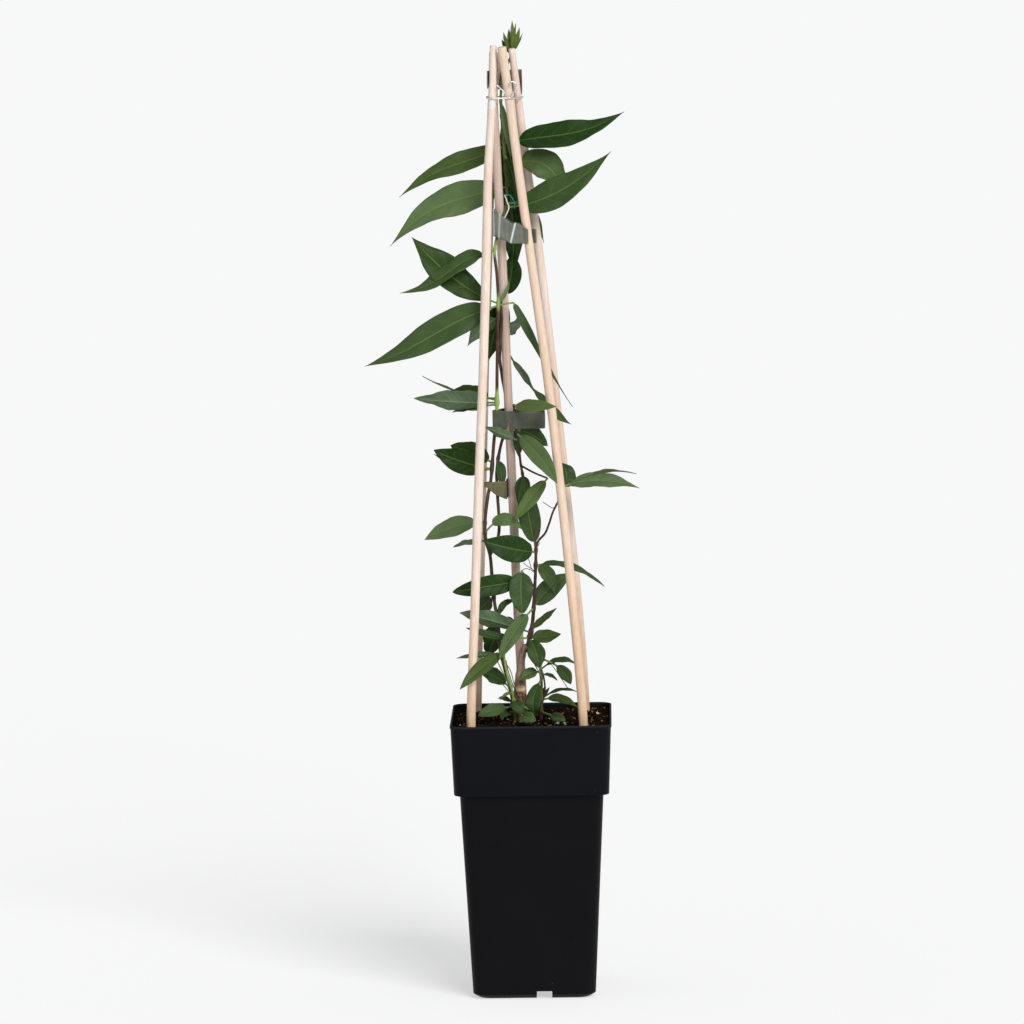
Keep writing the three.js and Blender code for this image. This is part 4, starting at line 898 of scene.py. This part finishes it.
# Thin stems beside the front shoot: points, radius and age
thin_front_stems = [
    ([[-12.3, -14.4, 212], [-11.1, -14.5, 224.6], [-13.9, -14, 233.6], [-17, -15, 244.3], [-18.1, -16, 250.9]],
     0.45, 0.55),
    ([[-12.3, -14.6, 213], [-11.1, -15, 225.4], [-12.8, -15, 234.5], [-14.8, -16.5, 243], [-18.6, -20.5, 250]],
     0.4, 0.6),
    ([[-12.6, -14.8, 215], [-13, -15, 225], [-17.6, -16.4, 235.6], [-22.4, -18, 245.8], [-24.8, -19, 251.7]],
     0.45, 0.5),
    ([[-12.6, -15, 216], [-14.2, -15.4, 223.9], [-18.6, -15, 230], [-21.8, -12.6, 233.4]], 0.4, 0.55),
]


def shoots():
    """All four leafy shoots."""
    shoot("left_vine", [
        stem_bar("left", heights(upper_leaves, left_leaves), LEFT_AGE),
        stem_bar("strand", heights(strand_leaves), BROWN),
        stem_bar("strand_back", heights(strand_back_leaves), BROWN),
        stem_bar("upper_twig", (), [(0, 0.1), (800, 0.1)]),
    ], [
        ("left", upper_leaves, LONG_POINTED), ("left", tip_leaves, YOUNG, 0.7),
        ("left", left_leaves, SHORT_POINTED),
        ("strand", strand_leaves, SHORT_POINTED), ("strand_back", strand_back_leaves, LONG_POINTED),
        ("upper_twig", upper_twig_leaves, LONG_POINTED),
    ])
    shoot("right_vine", [
        stem_bar("right_base", (), BROWN, 1.0), stem_bar("right", heights(right_leaves), BROWN),
        stem_bar("right_low", (), BROWN), stem_bar("right_tip", heights(right_tip_leaves), BROWN),
        stem_bar("right_middle", heights(right_middle_leaves), BROWN), stem_bar("right_twig", (), BROWN),
        stem_bar("right_spur", (), BROWN),
        twig([[4.9, -8, 316.5], [-0.1, -8.4, 319.8], [-4.3, -8, 323]]),
        twig([[4.9, -8, 316], [1.9, -8.2, 318.5], [0.7, -8.4, 322.5], [-0.7, -8, 326.6]]),
        twig([[4.6, -8, 315], [1.4, -8.8, 317.6], [-2.4, -8.6, 318.8], [-5, -8.4, 317.7]]),
        twig([[5.3, -8, 333.4], [6.5, -8.2, 335.4], [8.2, -8, 338]]),
        twig([[22.2, -8, 369], [18.5, -8.2, 364], [11, -8, 368.5]]),
    ], [
        ("right", right_leaves, SHORT_POINTED), ("right_middle", right_middle_leaves, SHORT_POINTED),
        ("right_tip", right_tip_leaves, LONG_POINTED), ("right_twig", right_twig_leaves, BLUNT),
        ("right_spur", right_spur_leaves, SHORT_POINTED),
    ])
    shoot("front_shoot", [
        stem_bar("front", heights(front_leaves), [(206, 0.5), (260, 0.1)]),
        *[twig(points, radius, age) for points, radius, age in thin_front_stems],
    ], [("front", front_leaves, SHORT_POINTED)])
    shoot("low_shoot", [
        stem_bar("low", heights(low_leaves), [(205, 1.0), (235, 0.7), (251, 0.3)]),
        stem_bar("low_side", (), BROWN),
        twig([[9, -6.5, 251], [15.3, -8, 246.7], [28.5, -10, 227.2]]),
        twig([[8, -4.6, 221], [8.4, -6, 229], [7.5, -7, 236.8], [3.7, -7, 245.2], [-0.4, -5.5, 251.4]], 0.4, 0.8),
    ], [("low", low_leaves, SHORT_POINTED)])


# Soil
SOIL_TOP = 204
SOIL_RELIEF = 1.1
dice = np.random.default_rng(41)


def value_noise(x, y, cell, seed):
    """Smooth noise: seeded numbers on a square lattice with that cell, blended by w^2(3 - 2w)."""
    table = np.random.default_rng(seed).uniform(-1, 1, (64, 64))
    gx, gy = np.asarray(x) / cell + 500, np.asarray(y) / cell + 500
    ix, iy = np.floor(gx).astype(int), np.floor(gy).astype(int)
    wx, wy = gx - ix, gy - iy
    wx, wy = wx * wx * (3 - 2 * wx), wy * wy * (3 - 2 * wy)
    near = table[ix % 64, iy % 64] * (1 - wx) + table[(ix + 1) % 64, iy % 64] * wx
    far = table[ix % 64, (iy + 1) % 64] * (1 - wx) + table[(ix + 1) % 64, (iy + 1) % 64] * wx
    return near * (1 - wy) + far * wy


def soil_height(x, y):
    """The frame's slow swell, and clods of 7, 3 and 1.3 mm on it."""
    coarse = np.sin(0.13 * x + 1.1) * np.cos(0.11 * y - 0.4)
    fine = np.sin(0.37 * x + 0.6 * np.sin(0.23 * y)) * np.sin(0.41 * y + 1.7)
    clods = 0.55 * value_noise(x, y, 7, 3) + 0.5 * value_noise(x, y, 3, 5) + 0.3 * value_noise(x, y, 1.3, 7)
    return SOIL_TOP + SOIL_RELIEF * (0.7 * coarse + 0.5 * fine) + clods - 0.25


def soil():
    """The cavity's own profile with a small gap, then rings shrinking to the middle over the clods."""
    inner = smooth_profile([
        (BODY_LOW_HALF - 12, 9), (BODY_LOW_HALF - WALL - GAP, 9.5), (BODY_TOP_HALF - WALL - GAP, COLLAR_BOTTOM + 1),
        (COLLAR_HALF - WALL - GAP, COLLAR_BOTTOM + 3), (RIM_HALF - WALL - 0.2 - GAP, SOIL_TOP - 4),
    ], 0.8)
    outline = rounded_square(RIM_HALF - WALL - 0.2 - GAP, CORNER_RADIUS - WALL, 0, 10, 26)
    share = np.linspace(1, 0.01, 84)[:, None]
    x, y = outline[:, 0] * share, outline[:, 1] * share
    top = np.stack([x, y, soil_height(x, y)], -1)
    below = rounded_square(inner[:, 0], CORNER_RADIUS - WALL, inner[:, 1], 10, 26)
    made = put_mesh("soil_dressed", [(*rings_to_shell(np.concatenate([below, top])), {}, 0)], [PEAT])
    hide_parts("soil")


def crumbs(count=3000):
    """Small knobbly lumps: a twenty-sided ball whose corners move in and out, flattened and turned at random."""
    golden = (1 + 5 ** 0.5) / 2
    ball = unit(np.array([
        [-1, golden, 0], [1, golden, 0], [-1, -golden, 0], [1, -golden, 0], [0, -1, golden], [0, 1, golden],
        [0, -1, -golden], [0, 1, -golden], [golden, 0, -1], [golden, 0, 1], [-golden, 0, -1], [-golden, 0, 1],
    ]))
    sides = np.array([
        [0, 11, 5], [0, 5, 1], [0, 1, 7], [0, 7, 10], [0, 10, 11], [1, 5, 9], [5, 11, 4], [11, 10, 2],
        [10, 7, 6], [7, 1, 8], [3, 9, 4], [3, 4, 2], [3, 2, 6], [3, 6, 8], [3, 8, 9], [4, 9, 5],
        [2, 4, 11], [6, 2, 10], [8, 6, 7], [9, 8, 1],
    ])
    lumps = ball[None] * dice.uniform(0.65, 1.3, (count, 12, 1))
    spans = ((0.8, 1.9), (0.6, 1.1), (0.35, 0.8))
    stretch = np.stack([dice.uniform(low, high, count) for low, high in spans], -1)
    lumps = lumps * stretch[:, None]
    q = unit(dice.normal(size=(count, 4)) * [1, 0.35, 0.35, 1])
    w, x, y, z = q.T
    turn = np.stack([
        1 - 2 * (y * y + z * z), 2 * (x * y - z * w), 2 * (x * z + y * w), 2 * (x * y + z * w),
        1 - 2 * (x * x + z * z), 2 * (y * z - x * w), 2 * (x * z - y * w), 2 * (y * z + x * w),
        1 - 2 * (x * x + y * y),
    ], -1).reshape(-1, 3, 3)
    size = np.clip(dice.lognormal(-0.55, 0.5, count), 0.25, 1.9)
    spot = dice.uniform(-56.6, 56.6, (count, 2))
    corner = np.hypot(*np.maximum(np.abs(spot) - 50, 0).T) > 6
    spot[corner] *= 0.85
    lift = soil_height(spot[:, 0], spot[:, 1]) + 0.15 * size
    points = np.einsum("nij,nkj->nki", turn, lumps) * size[:, None, None]
    points += np.concatenate([spot, lift[:, None]], 1)[:, None]
    pick = dice.uniform(size=count)
    light = np.where(pick < 0.84, 0.1, np.where(pick < 0.985, dice.uniform(0.35, 0.75, count), 1.0))
    faces = (sides[None] + 12 * np.arange(count)[:, None, None]).reshape(-1, 3)
    all_crumbs = (points.reshape(-1, 3), [faces], {"light": np.repeat(light, 12)}, 0)
    made = put_mesh("soil_crumbs", [all_crumbs], [CRUMBS], False)


# Ties
def loop_round(circles, clearance, steps, start=0.0, end=1.0):
    """The line that a cord pulled round some discs takes: for each direction, the disc that reaches furthest
    that way, and its edge plus the clearance; then spread evenly along its length."""
    angle = 2 * np.pi * np.linspace(start, end, 1441)
    way = np.stack([np.cos(angle), np.sin(angle)], -1)
    discs = np.asarray(circles, float)
    best = (way @ discs[:, :2].T + discs[:, 2]).argmax(1)
    line = discs[best, :2] + way * (discs[best, 2] + clearance)[:, None]
    return even_steps(line, steps)


def even_steps(line, steps):
    """The same line with its points spread evenly along its length."""
    run = np.concatenate([[0], np.cumsum(np.linalg.norm(np.diff(line, axis=0), axis=1))])
    keep = np.concatenate([[True], np.diff(run) > 1e-9])
    goal = np.linspace(0, run[-1], steps)
    return np.stack([np.interp(goal, run[keep], line[keep, k]) for k in range(line.shape[1])], -1)


def ribbon(name, node, line, low, high, paint, closed, crease=0.35, rows=12):
    """A strip standing on a line in plan: height runs from low to high, both functions of the place (x, y),
    and creases sin(run) push it outwards a little. The strip is 0.4 mm thick."""
    if closed:
        line = line[:-1]
    ahead = (np.roll(line, -1, 0) - np.roll(line, 1, 0)) if closed else np.gradient(line, axis=0)
    ahead = unit(ahead)
    out = np.stack([ahead[:, 1], -ahead[:, 0]], -1)
    w = np.linspace(0, 1, rows)
    bottom, top = low(line[:, 0], line[:, 1]), high(line[:, 0], line[:, 1])
    z = bottom[:, None] + (top - bottom)[:, None] * w
    run = np.arange(len(line))[:, None] * 1.0
    waves = 0.35 * np.sin(0.9 * run + 3 * w) + 0.3 * np.sin(0.37 * run - 2 * w + 1) + 0.25
    push = np.clip(crease * waves * np.sin(np.pi * (0.1 + 0.8 * w)), 0, None)
    inner = np.concatenate([line[:, None] + out[:, None] * push[..., None], z[..., None]], -1)
    outer = inner + np.concatenate([out * 0.4, np.zeros((len(line), 1))], -1)[:, None]
    rings = np.concatenate([inner, outer[:, ::-1]], 1)
    count, around, _ = rings.shape
    faces = wrap_faces(count, around)
    if closed:
        last = (count - 1) * around
        k = np.arange(around)
        n = (k + 1) % around
        faces = np.concatenate([faces, np.stack([last + k, last + n, n, k], -1)])
    else:
        faces = np.concatenate([faces, zip_caps(count, around)])
    made = put_mesh(name, [(rings.reshape(-1, 3), [faces], {}, 0)], [paint])
    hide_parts(node)


def ramp(x, x0, x1, y0, y1):
    return y0 + (y1 - y0) * np.clip((x - x0) / (x1 - x0), 0, 1)


def cane_disc(name, height):
    x, y, _ = at_heights(canes[name][0], [height])[0]
    return [x, y, cane_radius(name, height)]


def stem_disc(stem, height):
    x, y, _ = at_heights(stems[stem][0], [height])[0]
    return [x, y, 1.4]


def tapes():
    """The four strips of tying film."""
    line = loop_round([
        cane_disc("cane_centre", 574), cane_disc("cane_front_right", 563), cane_disc("cane_front_right", 574),
        stem_disc("left", 572), [-20.5, -3.6, 1.6],
    ], 0.9, 120, 0.14, 0.745)
    line = even_steps(np.vstack([[8.6, -13.2], line]), 130)
    ribbon(
        "upper_tape_dressed", "upper_tape", line, lambda x, y: ramp(x, -22.9, -9.6, 567, 562),
        lambda x, y: ramp(x, -22.9, -9.6, 587.5, 577) - ramp(x, -4, 3, 0, 4.5), TAPE, False,
    )
    line = loop_round([
        cane_disc("cane_centre", 431), stem_disc("left", 427), stem_disc("left", 437), stem_disc("strand", 422),
        stem_disc("strand", 435), stem_disc("right_middle", 430), [10, -4, 2], [10, 3, 2],
    ], 0.8, 140)

    def notched(x, y):
        return 423.4 + np.where(y < 0, np.clip(8.4 - 2.9 * np.abs(x + 12.4), 0, 9), 0)

    ribbon("middle_tape_dressed", "middle_tape", line, notched, lambda x, y: ramp(x, -24.5, 12.5, 437.5, 435.7),
           MIDDLE_TAPE, True)
    line = curve_at([
        [-9.5, 8.3], [-13, 8], [-15.8, 5.8], [-15.9, 2.5], [-16, -7], [-20.4, -9.8], [-26, -11], [-30, -11.3],
        [-32.5, -10.2], [-32.9, -8], [-31.6, -6], [-29, -5.3],
    ], np.linspace(0, 1, 100))
    ribbon(
        "lower_tape_dressed", "lower_tape", line,
        lambda x, y: ramp(x, -31, -24, 380.5, 374.5) - ramp(x, -24, -14, 0, 4.5),
        lambda x, y: ramp(x, -31, -14, 384, 385), OLIVE_TAPE, False,
    )
    discs = [cane_disc(name, height) for name in canes for height in (674, 682, 689)]
    ribbon(
        "top_tape_dressed", "top_tape", loop_round(discs, 0.6, 90, 0.03, 0.58),
        lambda x, y: ramp(x, -26, 2, 676.4, 670.8), lambda x, y: ramp(x, -26, 2, 688.5, 690), DARK_TAPE, False,
    )


def ties():
    """The wire hoop with its curled ends, and the coated tie on the upper stem with one bare white end."""
    hoop = loop_round([cane_disc(name, 669) for name in canes], 0.95, 90)
    hoop = np.column_stack([hoop, np.full(len(hoop), 669.3)])
    curl = [[-8.6, -9.2, 669.2], [-6.9, -9.8, 673.1], [-5.1, -10, 675.5], [-4.5, -10.2, 679.2],
            [-6.6, -10.4, 681.3], [-8.7, -10.8, 681.1], [-9, -11, 678.3]]
    tail = [[-10, -9.6, 669.3], [-12.8, -11, 673.2], [-15.7, -11.6, 676.2], [-18.6, -12, 679.2]]
    bars = [tube(hoop, 0.55, 10, 180), tube(curl, 0.55, 10, 60), tube(tail, 0.55, 10, 30)]
    made = put_mesh("wire_tie_dressed", bars, [WIRE])
    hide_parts("wire_tie")
    angle = np.linspace(0, 2 * np.pi, 25)
    ring = np.stack([-13 + 2.1 * np.cos(angle), 3.9 + 2.1 * np.sin(angle), 597 + 0 * angle], -1)
    white = [[-14.4, 2.2, 597], [-12.6, -1.6, 592], [-11.4, -3.4, 587.5], [-14.8, -5, 580]]
    green = [[-11.6, 2.2, 597], [-9.8, -2.4, 596.6], [-7.4, -3.4, 592], [-7.2, -3.2, 587]]
    made = put_mesh("twist_tie_dressed", [
        tube(ring, 0.45, 8, 48, {"light": 1.0}), tube(white, 0.45, 8, 40, {"light": 0.0}),
        tube(green, 0.45, 8, 40, {"light": 1.0}),
    ], [TIE])
    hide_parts("twist_tie")


def stump():
    """A cut stem: a bar with a rough radius, its cut end pale."""
    knots = [[-6, -11, 185], [-6.2, -11.2, 205], [-6.9, -13, 222], [-7.4, -17.5, 230]]
    bar = tube(knots, lambda t: 4 - 0.4 * t + 0.12 * np.sin(40 * t), 20, 40, {"cut": lambda t: t > 0.999})
    made = put_mesh("cut_stump_dressed", [bar], [BARK])
    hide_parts("cut_stump")


# Camera at the photograph's place: position, then yaw, pitch down and roll in degrees, and focal length
def aim_camera():
    """The camera looks along (sin yaw cos pitch, cos yaw cos pitch, -sin pitch), rolled about that line."""
    yaw, pitch, roll = (math.radians(a) for a in (-0.95, 6.71, 0.83))
    forward = Vector((math.sin(yaw) * math.cos(pitch), math.cos(yaw) * math.cos(pitch), -math.sin(pitch)))
    level = Vector((math.cos(yaw), -math.sin(yaw), 0))
    upright = level.cross(forward)
    right = level * math.cos(roll) - upright * math.sin(roll)
    up = level * math.sin(roll) + upright * math.cos(roll)
    data = bpy.data.cameras.new("view")
    data.sensor_width, data.lens = 36, 213.54
    data.clip_start, data.clip_end = 0.1, 200
    camera = bpy.data.objects.new("view", data)
    turn = Matrix((right, up, -forward)).transposed().to_4x4()
    camera.matrix_world = Matrix.Translation(Vector((62.3, -4500, 889.9)) * MM) @ turn
    scene.collection.objects.link(camera)
    scene.camera = camera


def studio():
    """A wide pale floor, an even pale surround and a broad sun from the right in front."""
    world = bpy.data.worlds.new("surround")
    world.use_nodes = True
    world.node_tree.nodes["Background"].inputs[0].default_value = (0.97, 0.985, 1.0, 1)
    world.node_tree.nodes["Background"].inputs[1].default_value = 0.3
    scene.world = world
    p = Paint("floor")
    glow = {"Emission_Color": (1, 1, 1, 1), "Emission_Strength": 0.555}
    material = p.finish(Base_Color=(0.5, 0.5, 0.5, 1), Roughness=1.0, Specular_IOR_Level=0.0, **glow)
    mesh = bpy.data.meshes.new("floor")
    angle = 2 * np.pi * np.arange(48) / 48
    rim = np.stack([60 * np.cos(angle), 60 * np.sin(angle), 0 * angle - 0.0002], -1)
    mesh.from_pydata(rim.tolist(), [], [list(range(48))])
    mesh.materials.append(material)
    floor = bpy.data.objects.new("floor", mesh)
    scene.collection.objects.link(floor)
    sun = bpy.data.lights.new("key", "SUN")
    sun.energy, sun.angle = 2.6, math.radians(34)
    key = bpy.data.objects.new("key", sun)
    key.rotation_mode = "QUATERNION"
    key.rotation_quaternion = Vector((-0.5, 0.95, -0.75)).to_track_quat("-Z", "Y")
    scene.collection.objects.link(key)
    scene.view_settings.view_transform = "Standard"


pot()
for cane_name, (cane_knots, cane_painted_shade) in canes.items():
    cane(cane_name, cane_knots, cane_painted_shade)
shoots()
stump()
soil()
crumbs()
tapes()
ties()
aim_camera()
studio()
